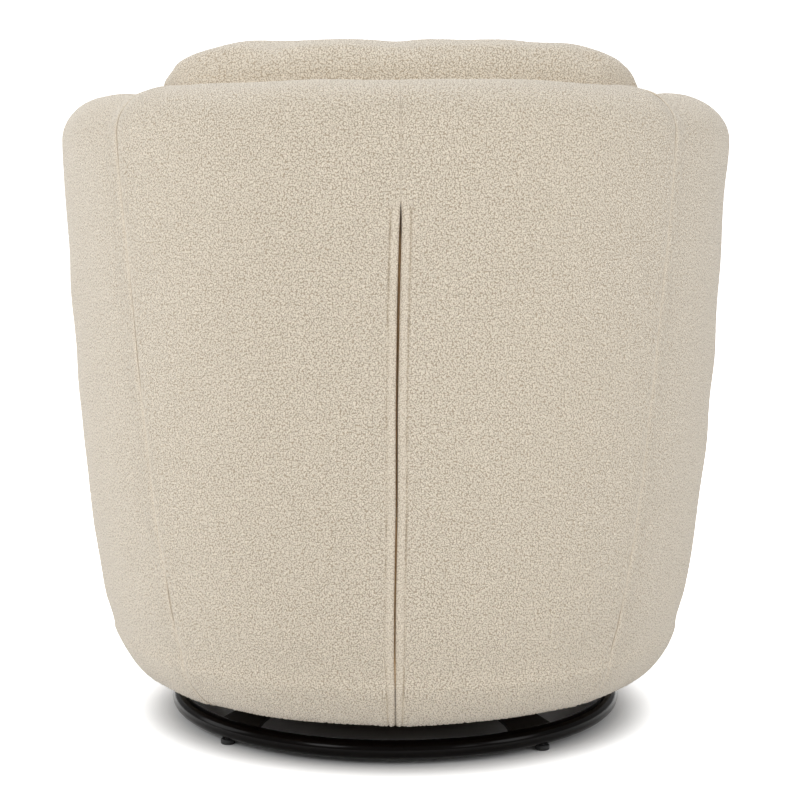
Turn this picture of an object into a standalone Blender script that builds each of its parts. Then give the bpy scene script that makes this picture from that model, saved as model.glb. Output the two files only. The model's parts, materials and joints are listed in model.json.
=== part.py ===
"""Swivel armchair: an upholstered barrel shell on a tubular ring base.

World frame in metres: +Z up, origin on the swivel axis at floor level.
The chair faces -Y, so its outside back faces +Y. +X is its left arm.
"""
import math

import bmesh
import bpy
from mathutils import Vector

# Fits
GAP = 0.0003
SOFT_FIT = 0.002
FRAME_FIT = 0.001
POST_FIT = 0.0045
RUNNING_FIT = 0.0005
OVERRUN = 0.002

# Shell: plan, height and layers
SHELL_RADIUS = 0.3677
SHELL_BOTTOM = 0.052
WALL = 0.103
BACK_HEIGHT = 0.735
SIDE_FALL = 0.044
ARM_FALL = 0.014
RIM_RISE = 0.045
ROLL_RADIUS = 0.045
ROLL_HEIGHT = 0.050
HEM_INSET = 0.1185
SEAM_LOW = math.radians(45.0)
SEAM_HIGH = math.radians(53.0)
COVER = 0.003
OUTER_PAD = 0.0125
INNER_PAD = 0.0413
TOP_PAD = 0.040
SLIT_HALF = 0.0011
ZIP_BED = 0.016
ZIP_BED_DEPTH = 0.0076
SIDE_HEIGHT_SHARES = (0.0, 0.078, 0.15, 0.232, 0.35, 0.87, 0.93, 1.0)
SIDE_RADIUS_SHARES = (0.8652, 0.8652, 0.8930, 0.9158, 0.9422, 0.9961, 1.0, 1.0)
LOWER_ROW_SHARES = (0.232, 0.144)
SLIT_TOP_SHARE = 0.82
FRONT_COLUMN_SHARES = (-1, -0.5, 0, 0.5, 1)
RIM_STEPS = 6
ROLL_STEPS = 3
BACK_COLUMNS = 5
SIDE_COLUMNS = 4
ARM_COLUMNS = 2
NOSE_COLUMNS = 4

# Plywood frame
RAIL_TOP = 0.270
RAIL_THICKNESS = 0.018
RAIL_WIDTH = 0.090
BOARD_THICKNESS = 0.015
HOOP_THICKNESS = 0.018
HOOP_WIDTH = 0.040
POST_WIDTH = 0.050
POST_THICKNESS = 0.018
TOP_RAIL_WIDTH = 0.020
TOP_RAIL_HEIGHT = 0.034
BACK_POST_SHARE = 0.5
LOWER_POST_SHARE = 0.6
ARM_POST_SHARE = 0.7
CORNER_CUT_SHARE = 0.12
DUST_COVER = 0.001
DUST_COVER_CLEAR = 0.040

# Springs and deck
WIRE = 0.0036
WIRE_SIDES = 4
SPRING_COUNT = 4
SPRING_SPREAD_SHARE = 0.9
SPRING_BAR_SHARE = 0.7
SPRING_HALF_WIDTH = 0.024
SPRING_TURNS = 13
SPRING_CROWN = 0.006
CLIP_WALL = 0.0012
CLIP_WIDTH = 0.020
CLIP_TAIL = 0.012
DECK_PAD = 0.018
EDGE_ROLL_DEPTH = 0.042

# Loose cushions
SEAT_HEIGHT = 0.445
SEAT_CROWN = 0.020
SEAT_FRONT = 0.356
BACK_CUSHION_TOP = 0.766
BACK_CUSHION_INSET = 0.0145
BACK_CUSHION_FRONT = 0.120
BACK_CUSHION_WRAP = 0.080
BACK_CUSHION_SHIFT = -0.004
SEAM_DRAW_SHARE = 0.008
SEAM_DRAW_POWER = 12
EDGE_SHARE = 0.62
SEAT_ROUNDING = 7
BACK_ROUNDING = 6
SEAT_CROWN_POWER = 6
BACK_CROWN_POWER = 4
SEAT_GRID_STEPS = (12, 12, 3)
BACK_GRID_STEPS = (14, 3, 10)

# Base
RING_RADIUS = 0.243
TUBE = 0.011
GLIDE_RADIUS = 0.0078
GLIDE_HEIGHT = 0.006
GLIDE_EDGE = 0.0008
GLIDE_SIDES = 16
STEM_RADIUS = 0.003
STEM_LENGTH = 0.009
BASE_YAW = math.radians(4.3)
ARM_COUNT = 4
ARM_HALF_WIDTH = 0.025
ARM_FLARE = 0.006
ARM_FLARE_SHARE = 1 / 3
ARM_SWEEP_SHARES = (-1, -0.5, 0, 0.5, 1)
ARM_THICKNESS = 0.005
ARM_RISE = math.radians(21.0)
HUB_TOP = 0.045
HUB_HALF = 0.072
RING_SEGMENTS = 60
TUBE_SEGMENTS = 10

# Ball-bearing swivel
RACE_RADIUS = 0.080
BALL = 0.004
BALL_COUNT = 12
BALL_STEPS = 2
PLATE = 0.002
PLATE_BORE = 0.012
LOWER_STEP = 0.006
UPPER_STEP = 0.003
STEP_RUN = 0.005
RACE_LAND = 0.006
RACE_LIP = 0.007
RACE_ANGLE = math.radians(60.0)
RACE_ARC_SHARES = (-1, -0.4, 0.4, 1)
FLANGE_CLEAR = 0.0016
CAGE = 0.0012
CAGE_HALF = 0.008
PLATE_SEGMENTS = 32

# Fasteners
BOLT_CIRCLE = 0.038
BOLT_RADIUS = 0.0035
BOLT_HOLE = 0.0045
BOLT_HEAD = 0.0065
NUT_RADIUS = 0.0075
HEAD_HEIGHT = 0.004
BOLT_COUNT = 4
BOLT_SIDES = 8
NUT_HEIGHT = 0.005

# Zip
TAPE_HALF = 0.014
TAPE = 0.0008
COIL_HALF_GAP = 0.0006
COIL_WIDTH = 0.0018
COIL_HEIGHT = 0.0016
SLIDER_PLATE = 0.0006
SLIDER_HALF = 0.0032
SLIDER_LENGTH = 0.011
SLIDER_PARK = 0.020
STOP_LENGTH = 0.003
STOP_INSET = 0.0002

# Clearances and levels worked out from the sizes above
LAYERS = (0.0, COVER, COVER + GAP)
CAVITY = (INNER_PAD, TOP_PAD, OUTER_PAD)
INNER_ROWS = 2
CREST_ROW = INNER_ROWS + RIM_STEPS // 2
UPPER_OUTER_ROW = INNER_ROWS + RIM_STEPS + 1
DECK_ROW = UPPER_OUTER_ROW + 1
ROLL_ROW = DECK_ROW + len(LOWER_ROW_SHARES) + 1
HEM_ROW = ROLL_ROW + ROLL_STEPS + 1
QUARTER_TURN = math.pi / 2
SHARP_ANGLE = math.radians(35.0)
SEAM_ROUNDING = 0.00001
HEM_RADIUS = SHELL_RADIUS - HEM_INSET
RAIL_BOTTOM = RAIL_TOP - RAIL_THICKNESS
DECK_LEVEL = RAIL_TOP + GAP
HOOP_BOTTOM = SHELL_BOTTOM + COVER + GAP
BOARD_BOTTOM = HOOP_BOTTOM + HOOP_THICKNESS + GAP
BOARD_TOP = BOARD_BOTTOM + BOARD_THICKNESS
BOARD_RADIUS = SHELL_RADIUS * SIDE_RADIUS_SHARES[0] - ROLL_RADIUS - FRAME_FIT
INNER_FACE = SHELL_RADIUS - WALL
BACK_CUSHION_HALF = INNER_FACE - BACK_CUSHION_INSET
SPRING_LEVEL = RAIL_TOP + GAP + CLIP_WALL + GAP + WIRE / 2
PAD_BOTTOM = SPRING_LEVEL + SPRING_CROWN + WIRE / 2 + GAP
PAD_TOP = PAD_BOTTOM + DECK_PAD
CUSHION_BOTTOM = PAD_TOP + GAP


def clear_scene():
    for item in list(bpy.data.objects):
        bpy.data.objects.remove(item, do_unlink=True)


def finish(name, colour, roughness, metallic):
    """Return a plain Principled material."""
    material = bpy.data.materials.new(name)
    material.use_nodes = True
    shader = material.node_tree.nodes["Principled BSDF"]
    shader.inputs["Base Color"].default_value = (*colour, 1.0)
    shader.inputs["Roughness"].default_value = roughness
    shader.inputs["Metallic"].default_value = metallic
    return material


def add_axis(name, place):
    """Add the empty that marks a joint's axis."""
    empty = bpy.data.objects.new(name, None)
    empty.location = place
    bpy.context.collection.objects.link(empty)
    return empty


def add_solid(name, points, faces, material, parent=None, smooth=True):
    """Make one object from world points, with its origin at its parent's place."""
    origin = parent.location if parent else Vector((0, 0, 0))
    mesh = bpy.data.meshes.new(name)
    mesh.from_pydata([Vector(point) - origin for point in points], [], faces)
    shape = bmesh.new()
    shape.from_mesh(mesh)
    bmesh.ops.recalc_face_normals(shape, faces=shape.faces)
    shape.to_mesh(mesh)
    shape.free()
    if smooth:
        mesh.shade_smooth()
        mesh.set_sharp_from_angle(angle=SHARP_ANGLE)
    mesh.materials.append(material)
    item = bpy.data.objects.new(name, mesh)
    bpy.context.collection.objects.link(item)
    if parent:
        item.parent = parent
    return item


def join_shapes(shapes):
    """Put several closed solids into one list of points and faces."""
    points = []
    faces = []
    for more_points, more_faces in shapes:
        start = len(points)
        points.extend(more_points)
        faces.extend([[start + corner for corner in face] for face in more_faces])
    return points, faces


# Shell surface
def side_radius(share):
    """Radius of the outside at a share of the height from the hem to the crest."""
    for index in range(1, len(SIDE_HEIGHT_SHARES)):
        low = SIDE_HEIGHT_SHARES[index - 1]
        high = SIDE_HEIGHT_SHARES[index]
        if share <= high:
            blend = (share - low) / (high - low)
            start = SIDE_RADIUS_SHARES[index - 1]
            return SHELL_RADIUS * (start + blend * (SIDE_RADIUS_SHARES[index] - start))
    return SHELL_RADIUS


def outer_radius(crest, level):
    return side_radius((level - SHELL_BOTTOM) / (crest - SHELL_BOTTOM))


def section(crest, depths):
    """Radius and height of each row, from the deck up the inside, over the rim and down."""
    inner, top, outer = depths
    rim = crest - RIM_RISE
    outer_face = SHELL_RADIUS - outer
    inner_face = INNER_FACE + inner
    centre = (outer_face + inner_face) / 2
    half = (outer_face - inner_face) / 2
    middle = DECK_LEVEL + SLIT_TOP_SHARE * (rim - DECK_LEVEL)
    rows = [(inner_face, DECK_LEVEL), (inner_face, middle)]
    for step in range(RIM_STEPS + 1):
        angle = math.pi * (1 - step / RIM_STEPS)
        rows.append((centre + half * math.cos(angle), rim + (RIM_RISE - top) * math.sin(angle)))
    rows.append((outer_radius(crest, middle) - outer, middle))
    rows.append((outer_radius(crest, DECK_LEVEL) - outer, DECK_LEVEL))
    for share in LOWER_ROW_SHARES:
        rows.append((side_radius(share) - outer, SHELL_BOTTOM + share * (crest - SHELL_BOTTOM)))
    roll_centre = SHELL_RADIUS * SIDE_RADIUS_SHARES[0] - ROLL_RADIUS
    roll_level = SHELL_BOTTOM + ROLL_HEIGHT
    for step in range(ROLL_STEPS + 1):
        angle = QUARTER_TURN * step / ROLL_STEPS
        rows.append((roll_centre + (ROLL_RADIUS - outer) * math.cos(angle),
                     roll_level - (ROLL_HEIGHT - outer) * math.sin(angle)))
    rows.append((HEM_RADIUS, SHELL_BOTTOM + outer))
    return rows


def rear_crest(angle):
    return BACK_HEIGHT - SIDE_FALL * (1 - math.cos(angle))


def arm_crest(share):
    return BACK_HEIGHT - SIDE_FALL - SIDE_FALL * share - ARM_FALL * share * share


def seam_angle(row):
    """Plan angle of the side seam, which leans back towards the hem."""
    rows = section(rear_crest(SEAM_HIGH), (0, 0, 0))
    share = (rows[row][1] - SHELL_BOTTOM) / (BACK_HEIGHT - SHELL_BOTTOM)
    return SEAM_LOW + (SEAM_HIGH - SEAM_LOW) * min(share, 1)


SEAM_ANGLES = [seam_angle(row) for row in range(HEM_ROW + 1)]


def nose_centre(rows, row):
    """Radius of the middle of the wall at a row, about which the arm front turns."""
    if row <= DECK_ROW:
        return (rows[row][0] + rows[DECK_ROW - row][0]) / 2
    return rows[row][0] - (rows[DECK_ROW][0] - rows[0][0]) / 2


def plan_angle(place, row):
    """Angle from the rear centre at a place: 0 centre, 1 side seam, 2 side."""
    seam = SEAM_ANGLES[row]
    if place <= 1:
        return place * seam
    return seam + (min(place, 2) - 1) * (QUARTER_TURN - seam)


def shell_point(column, row, depths):
    """Point of the shell at a column (side, place, shift) and a row, depths inside it."""
    side, place, shift = column
    angle = plan_angle(place, row)
    crest = rear_crest(angle) if place <= 2 else arm_crest(min(place, 3) - 2)
    rows = section(crest, depths)
    radius, level = rows[row]
    centre = nose_centre(rows, row)
    if place <= 2:
        turned = angle + shift / radius
        return (side * radius * math.sin(turned), radius * math.cos(turned), level)
    if place <= 3:
        return (side * radius, -(place - 2) * centre, level)
    turn = QUARTER_TURN * (place - 3)
    offset = radius - centre
    return (side * (centre + offset * math.cos(turn)),
            -(centre + abs(offset) * math.sin(turn)), level)


def places(first, last):
    """Column places between two whole places, with the counts above."""
    counts = (BACK_COLUMNS, SIDE_COLUMNS, ARM_COLUMNS, NOSE_COLUMNS)
    found = [float(first)]
    for span in range(first, last):
        found.extend(span + (step + 1) / counts[span] for step in range(counts[span]))
    return found


def column_keys(columns, rows):
    """Name the points of a grid so that those which meet at an arm front are one."""
    keys = []
    for index, (side, place, _) in enumerate(columns):
        for row in rows:
            if place >= 3 and row == CREST_ROW:
                keys.append((side, "crest", row))
            elif place == 4 and row <= DECK_ROW:
                keys.append((side, "front", min(row, DECK_ROW - row)))
            else:
                keys.append((index, row))
    return keys


def thick_sheet(columns, rows, outer, inner, outer_at=None):
    """Close the space between two depths of the shell over a grid of columns and rows."""
    keys = column_keys(columns, rows)
    index = {}
    outside = []
    inside = []
    numbers = []
    spots = [(column, row) for column in columns for row in rows]
    for key, (column, row) in zip(keys, spots):
        if key not in index:
            index[key] = len(outside)
            depths = outer_at(column, row) if outer_at else outer
            outside.append(shell_point(column, row, depths))
            inside.append(shell_point(column, row, inner))
        numbers.append(index[key])
    return close_sheets(outside, inside, numbers, len(rows))


def close_sheets(outside, inside, numbers, width):
    """Join two sheets of the same grid by a wall along their edge."""
    faces = []
    count = len(outside)
    for start in range(0, len(numbers) - width, width):
        for step in range(width - 1):
            a = numbers[start + step]
            b = numbers[start + step + 1]
            c = numbers[start + width + step + 1]
            d = numbers[start + width + step]
            for corners in ((a, b, c), (a, c, d)):
                if len(set(corners)) == 3:
                    faces.append(corners)
    used = {}
    for face in faces:
        for one, two in zip(face, face[1:] + face[:1]):
            used.setdefault(frozenset((one, two)), []).append((one, two))
    wall = []
    for pairs in used.values():
        if len(pairs) == 1:
            wall.extend(edge_wall(outside, count, *pairs[0]))
    backs = [tuple(corner + count for corner in reversed(face)) for face in faces]
    return outside + inside, faces + backs + wall


def edge_wall(outside, count, one, two):
    """Two triangles across an edge, split alike on both sides of a seam."""
    if edge_rank(outside[one]) > edge_rank(outside[two]):
        return [(two, one, two + count), (one, one + count, two + count)]
    return [(two, one, one + count), (two, one + count, two + count)]


def edge_rank(point):
    x, y, z = point
    return (round(z / SEAM_ROUNDING), round(math.hypot(x, y) / SEAM_ROUNDING))


def back_columns(side, edge):
    """Columns of half of the outside back, from the zip's edge to the side seam."""
    columns = [(side, 0.0, edge), (side, 0.0, ZIP_BED)]
    columns.extend((side, place, 0.0) for place in places(0, 1)[1:-1])
    columns.append((side, 1.0, -GAP / 2))
    return columns


def arm_columns(side):
    columns = [(side, 1.0, GAP / 2)]
    columns.extend((side, place, 0.0) for place in places(1, 4)[1:])
    return columns


def even(depth):
    return (depth, depth, depth)


def add_covers(fabric, seat):
    """Outside panels, each from the hem up over the rim and down to the deck."""
    rows = list(range(HEM_ROW + 1))
    for label, side in (("left", 1), ("right", -1)):
        columns = back_columns(side, SLIT_HALF)
        shape = close_back_seam(columns, rows)
        add_solid(f"back_cover_{label}", *shape, fabric, seat)
        shape = thick_sheet(arm_columns(side), rows, even(LAYERS[0]), even(LAYERS[1]))
        add_solid(f"arm_cover_{label}", *shape, fabric, seat)


def close_back_seam(columns, rows):
    """A back panel whose centre edge meets its twin above the zip and parts below it."""
    points, faces = thick_sheet(columns, rows, even(LAYERS[0]), even(LAYERS[1]))
    side = columns[0][0]
    sheet = len(points) // 2
    for row in rows:
        if row < UPPER_OUTER_ROW:
            for number in (row, row + sheet):
                x, y, z = points[number]
                points[number] = (side * GAP / 2, y, z)
    return points, faces


def add_foams(foam, seat):
    """Padding under the covers, open below so that it drops over the frame."""
    rows = list(range(ROLL_ROW + 2))

    def bed(column, row):
        if column[1] == 0.0 and row > CREST_ROW:
            return (LAYERS[2], LAYERS[2], ZIP_BED_DEPTH)
        return even(LAYERS[2])

    half = back_columns(1, 0.0)
    other = back_columns(-1, 0.0)
    columns = list(reversed(half)) + other[1:]
    shape = thick_sheet(columns, rows, None, CAVITY, bed)
    add_solid("back_foam", *shape, foam, seat)
    for label, side in (("left", 1), ("right", -1)):
        shape = thick_sheet(arm_columns(side), rows, even(LAYERS[2]), CAVITY)
        add_solid(f"arm_foam_{label}", *shape, foam, seat)


def front_sheet(rows, outer, inner):
    """The straight front between the arm fronts, below the deck."""
    crest = arm_crest(1)
    outside = []
    inside = []
    for share in FRONT_COLUMN_SHARES:
        for row in rows:
            plain = section(crest, even(0))
            reach = nose_centre(plain, row) - GAP
            for depth, sheet in ((outer, outside), (inner, inside)):
                radius, level = section(crest, even(depth))[row]
                sheet.append((share * reach, -radius, level))
    return close_sheets(outside, inside, list(range(len(outside))), len(rows))


def add_front(fabric, foam, seat):
    rows = list(range(DECK_ROW, HEM_ROW + 1))
    add_solid("front_cover", *front_sheet(rows, LAYERS[0], LAYERS[1]), fabric, seat)
    rows = list(range(DECK_ROW, ROLL_ROW + 2))
    add_solid("front_foam", *front_sheet(rows, LAYERS[2], OUTER_PAD), foam, seat)


# Flat frame parts
def prism(outline, bottom, top):
    """A flat board from its outline in plan."""
    count = len(outline)
    points = [(x, y, bottom) for x, y in outline] + [(x, y, top) for x, y in outline]
    faces = [tuple(reversed(range(count))), tuple(range(count, 2 * count))]
    for index in range(count):
        after = (index + 1) % count
        faces.append((index, after, after + count, index + count))
    return points, faces


def frame_plan(crest_place, level, depth):
    """Outer radius of the frame at a place and level, depth inside the outside cover."""
    angle = plan_angle(crest_place, DECK_ROW)
    crest = rear_crest(angle) if crest_place <= 2 else arm_crest(min(crest_place, 3) - 2)
    return outer_radius(crest, level) - depth


def rear_arc(radius_at, side_order=(1, -1)):
    """Plan points round the rear from one side to the other."""
    points = []
    for side in side_order:
        steps = places(0, 2)
        ordered = list(reversed(steps)) if side == side_order[0] else steps[1:]
        for place in ordered:
            angle = plan_angle(place, DECK_ROW)
            radius = radius_at(place)
            points.append((side * radius * math.sin(angle), radius * math.cos(angle)))
    return points


def barrel_outline(radius, front):
    """Closed plan: round at the rear, straight sides and a straight front."""
    outline = rear_arc(lambda place: radius)
    corner = front * (1 - CORNER_CUT_SHARE)
    step = front - corner
    outline.append((-radius, -corner))
    outline.append((-radius + step, -front))
    outline.append((radius - step, -front))
    outline.append((radius, -corner))
    return outline


def add_rails(plywood, seat):
    """Four seat rails and the top rail."""
    depth = OUTER_PAD + FRAME_FIT

    def outside(place):
        return frame_plan(place, RAIL_BOTTOM, depth)

    def inside(place):
        return outside(2) - RAIL_WIDTH

    outline = rear_arc(outside) + list(reversed(rear_arc(inside)))
    add_solid("rear_seat_rail", *prism(outline, RAIL_BOTTOM, RAIL_TOP), plywood, seat)
    rows = section(arm_crest(1), even(0))
    run = nose_centre(rows, DECK_ROW)
    outer = outside(2)
    inner = inside(2)
    for label, side in (("left", 1), ("right", -1)):
        board = [(side * inner, -GAP), (side * outer, -GAP), (side * outer, -run), (side * inner, -run)]
        add_solid(f"{label}_seat_rail", *prism(board, RAIL_BOTTOM, RAIL_TOP), plywood, seat)
    front = frame_plan(3, RAIL_BOTTOM, depth)
    reach = inner - GAP
    board = [(-reach, -front), (reach, -front), (reach, RAIL_WIDTH - front), (-reach, RAIL_WIDTH - front)]
    add_solid("front_seat_rail", *prism(board, RAIL_BOTTOM, RAIL_TOP), plywood, seat)
    add_solid("top_rail", *top_rail(), plywood, seat)


def rail_middle():
    """Radius of the middle of the top rail, in the middle of the padding's cavity."""
    return (SHELL_RADIUS - OUTER_PAD + INNER_FACE + INNER_PAD) / 2


def top_rail_points(column):
    """The four corners of the top rail at a column."""
    side, place, _ = column
    if place <= 2:
        crest = rear_crest(plan_angle(place, CREST_ROW))
    else:
        crest = arm_crest(place - 2)
    top = crest - RIM_RISE - GAP
    corners = []
    for reach, level in ((-1, 0), (1, 0), (1, 1), (-1, 1)):
        radius = rail_middle() + reach * TOP_RAIL_WIDTH / 2
        height = top - level * TOP_RAIL_HEIGHT
        if place <= 2:
            angle = plan_angle(place, CREST_ROW)
            corners.append((side * radius * math.sin(angle), radius * math.cos(angle), height))
        else:
            corners.append((side * radius, -(place - 2) * rail_middle(), height))
    return corners


def top_rail():
    """One laminated rail that follows the rim from arm front to arm front."""
    steps = places(0, 3)
    columns = [(1, place, 0) for place in reversed(steps)] + [(-1, place, 0) for place in steps[1:]]
    points = []
    faces = []
    for column in columns:
        points.extend(top_rail_points(column))
    for index in range(len(columns) - 1):
        start = 4 * index
        for corner in range(4):
            after = (corner + 1) % 4
            faces.append((start + corner, start + after, start + 4 + after, start + 4 + corner))
    faces.append((0, 1, 2, 3))
    last = 4 * (len(columns) - 1)
    faces.append((last + 3, last + 2, last + 1, last))
    return points, faces


def frame_place(place, radius):
    """Plan point and outward direction at a place along the frame."""
    if place <= 2:
        angle = plan_angle(place, DECK_ROW)
        out = Vector((math.sin(angle), math.cos(angle), 0))
        return radius * out, out
    return Vector((radius, -(place - 2) * rail_middle(), 0)), Vector((1, 0, 0))


def post(side, place, foot_radius, foot, head_radius, head):
    """An upright board between two levels, its broad face across the wall."""
    points = []
    for radius, level in ((foot_radius, foot), (head_radius, head)):
        centre, out = frame_place(place, radius)
        along = Vector((-out.y, out.x, 0))
        for reach, sweep in ((-1, -1), (1, -1), (1, 1), (-1, 1)):
            spot = centre + out * (reach * POST_THICKNESS / 2) + along * (sweep * POST_WIDTH / 2)
            points.append((side * spot.x, spot.y, level))
    faces = [(3, 2, 1, 0), (4, 5, 6, 7), (0, 1, 5, 4), (1, 2, 6, 5), (2, 3, 7, 6), (3, 0, 4, 7)]
    return points, faces


def lowest_top_rail(place):
    """Underside of the top rail over a post, at the post's lower end of the slope."""
    spread = POST_WIDTH / rail_middle()
    if place <= 2:
        angle = plan_angle(place, CREST_ROW)
        crest = rear_crest(min(angle + spread / 2, QUARTER_TURN))
    else:
        crest = arm_crest(place - 2 + spread / 2)
    return crest - RIM_RISE - GAP - TOP_RAIL_HEIGHT - FRAME_FIT


def add_posts(plywood, seat):
    rail_radius = frame_plan(2, RAIL_BOTTOM, OUTER_PAD + FRAME_FIT) - POST_THICKNESS / 2 - POST_FIT
    foot_radius = BOARD_RADIUS - POST_THICKNESS / 2 - POST_FIT
    for label, side in (("left", 1), ("right", -1)):
        for row, place in (("rear", LOWER_POST_SHARE), ("front", 2 + ARM_POST_SHARE)):
            shape = post(side, place, foot_radius, BOARD_TOP + GAP, rail_radius, RAIL_BOTTOM - GAP)
            add_solid(f"lower_post_{row}_{label}", *shape, plywood, seat)
        for row, place in (("back", BACK_POST_SHARE), ("arm", 2 + ARM_POST_SHARE)):
            shape = post(side, place, rail_radius, RAIL_TOP + GAP, rail_middle(), lowest_top_rail(place))
            add_solid(f"{row}_post_{label}", *shape, plywood, seat)


def combine(item, shapes, operation):
    """Add shapes to a piece, or cut them from it, with a Boolean modifier."""
    name = f"{item.name}_{operation.lower()}"
    other = add_solid(name, *join_shapes(shapes), item.data.materials[0], item.parent, smooth=False)
    other.hide_render = True
    other.display_type = "WIRE"
    change = item.modifiers.new(operation.lower(), "BOOLEAN")
    change.object = other
    change.operation = operation


def cut_holes(item, centres, radius, bottom, top):
    """Cut upright bolt holes through a board or plate."""
    cutters = []
    for x, y in centres:
        ring = []
        for step in range(BOLT_SIDES):
            turn = 2 * math.pi * step / BOLT_SIDES
            ring.append((x + radius * math.cos(turn), y + radius * math.sin(turn)))
        cutters.append(prism(ring, bottom, top))
    combine(item, cutters, "DIFFERENCE")


def bolt_centres(turn):
    centres = []
    for index in range(BOLT_COUNT):
        angle = turn + 2 * math.pi * index / BOLT_COUNT
        centres.append((BOLT_CIRCLE * math.sin(angle), BOLT_CIRCLE * math.cos(angle)))
    return centres


def add_boards(plywood, cambric, seat):
    """Bottom hoop, bottom board and dust cover."""
    outline = barrel_outline(BOARD_RADIUS, BOARD_RADIUS)
    inner = barrel_outline(BOARD_RADIUS - HOOP_WIDTH, BOARD_RADIUS - HOOP_WIDTH)
    shape = ring_prism(outline, inner, HOOP_BOTTOM, HOOP_BOTTOM + HOOP_THICKNESS)
    add_solid("bottom_hoop", *shape, plywood, seat)
    board = add_solid("bottom_board", *prism(outline, BOARD_BOTTOM, BOARD_TOP), plywood, seat)
    cut_holes(board, bolt_centres(0), BOLT_HOLE, BOARD_BOTTOM - OVERRUN, BOARD_TOP + OVERRUN)
    reach = HEM_RADIUS - SOFT_FIT
    outline = barrel_outline(reach, reach)
    hole = RACE_RADIUS + RACE_LAND + RACE_LIP + DUST_COVER_CLEAR
    inner = barrel_outline(hole, hole)
    top = HOOP_BOTTOM - GAP
    shape = ring_prism(outline, inner, top - DUST_COVER, top)
    add_solid("dust_cover", *shape, cambric, seat)


def ring_prism(outline, inner, bottom, top):
    """A flat ring between two outlines that have the same number of points."""
    count = len(outline)
    points = []
    for loop, level in ((outline, bottom), (outline, top), (inner, top), (inner, bottom)):
        points.extend((x, y, level) for x, y in loop)
    faces = []
    for index in range(count):
        after = (index + 1) % count
        for band in range(4):
            one = band * count
            two = (band + 1) % 4 * count
            faces.append((one + index, one + after, two + after, two + index))
    return points, faces


# Springs and deck
def tube(path, radius, sides):
    """A closed tube along an open path that lies nearly level."""
    points = []
    faces = []
    up = Vector((0, 0, 1))
    for index, spot in enumerate(path):
        before = path[max(index - 1, 0)]
        after = path[min(index + 1, len(path) - 1)]
        along = (after - before).normalized()
        across = along.cross(up).normalized()
        lift = across.cross(along)
        for step in range(sides):
            turn = 2 * math.pi * (step + 0.5) / sides
            points.append(spot + across * (radius * math.cos(turn)) + lift * (radius * math.sin(turn)))
    for index in range(len(path) - 1):
        for step in range(sides):
            one = index * sides + step
            two = index * sides + (step + 1) % sides
            faces.append((one, two, two + sides, one + sides))
    faces.append(tuple(reversed(range(sides))))
    last = (len(path) - 1) * sides
    faces.append(tuple(range(last, last + sides)))
    return points, faces


def spring_path(x):
    """A wire that zigzags from the front rail to the rear rail and bows up between."""
    front = -spring_end()
    rear = spring_end(rear=True, x=x)
    pitch = (rear - front) / SPRING_TURNS
    path = []
    for turn in range(SPRING_TURNS + 1):
        side = 1 if turn % 2 else -1
        y = front + pitch * turn
        for share in (-SPRING_BAR_SHARE, SPRING_BAR_SHARE):
            path.append(Vector((x + side * share * SPRING_HALF_WIDTH, y, 0)))
        if turn < SPRING_TURNS:
            path.append(Vector((x + side * SPRING_HALF_WIDTH, y + pitch / 2, 0)))
    for spot in path:
        share = (spot.y - front) / (rear - front)
        spot.z = SPRING_LEVEL + SPRING_CROWN * 4 * share * (1 - share)
    return path


def spring_end(rear=False, x=0.0):
    """Distance from the swivel axis at which a spring's end bar lies in its clip."""
    if not rear:
        front = frame_plan(3, RAIL_BOTTOM, OUTER_PAD + FRAME_FIT)
        return front - RAIL_WIDTH + CLIP_TAIL / 2
    widest = abs(x) + SPRING_HALF_WIDTH
    return math.sqrt(clear_half() ** 2 - widest ** 2) + CLIP_TAIL


def clear_half():
    """Half of the clear width between the left and right seat rails."""
    return frame_plan(2, RAIL_BOTTOM, OUTER_PAD + FRAME_FIT) - RAIL_WIDTH


def clip(x, y, facing):
    """A folded plate that holds a spring's end bar down on its rail."""
    low = RAIL_TOP - OVERRUN
    slot = RAIL_TOP + GAP + CLIP_WALL
    roof = slot + WIRE + 2 * GAP
    top = roof + CLIP_WALL
    nose = WIRE / 2 + GAP
    tail = CLIP_TAIL / 2
    profile = [(nose, low), (nose, slot), (-nose, slot), (-nose, roof), (nose, roof), (nose, top),
               (-nose - CLIP_WALL, top), (-nose - CLIP_WALL, slot), (-tail, slot), (-tail, low)]
    count = len(profile)
    points = []
    for edge in (-1, 1):
        for reach, level in profile:
            points.append((x + edge * CLIP_WIDTH / 2, y + facing * reach, level))
    faces = [tuple(range(count)), tuple(reversed(range(count, 2 * count)))]
    for index in range(count):
        after = (index + 1) % count
        faces.append((index, index + count, after + count, after))
    return points, faces


def add_springs(steel, seat):
    """Springs, each with a clip at both ends that is one piece with its rail."""
    clips = {"front_seat_rail": [], "rear_seat_rail": []}
    spacing = SPRING_SPREAD_SHARE * 2 * clear_half() / SPRING_COUNT
    for index in range(SPRING_COUNT):
        x = spacing * (index - (SPRING_COUNT - 1) / 2)
        path = spring_path(x)
        shape = tube(path, WIRE / 2, WIRE_SIDES)
        add_solid(f"seat_spring_{index + 1}", *shape, steel, seat)
        clips["front_seat_rail"].append(clip(x, path[0].y, 1))
        clips["rear_seat_rail"].append(clip(x, path[-1].y, -1))
    for rail, shapes in clips.items():
        combine(bpy.data.objects[rail], shapes, "UNION")


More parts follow.
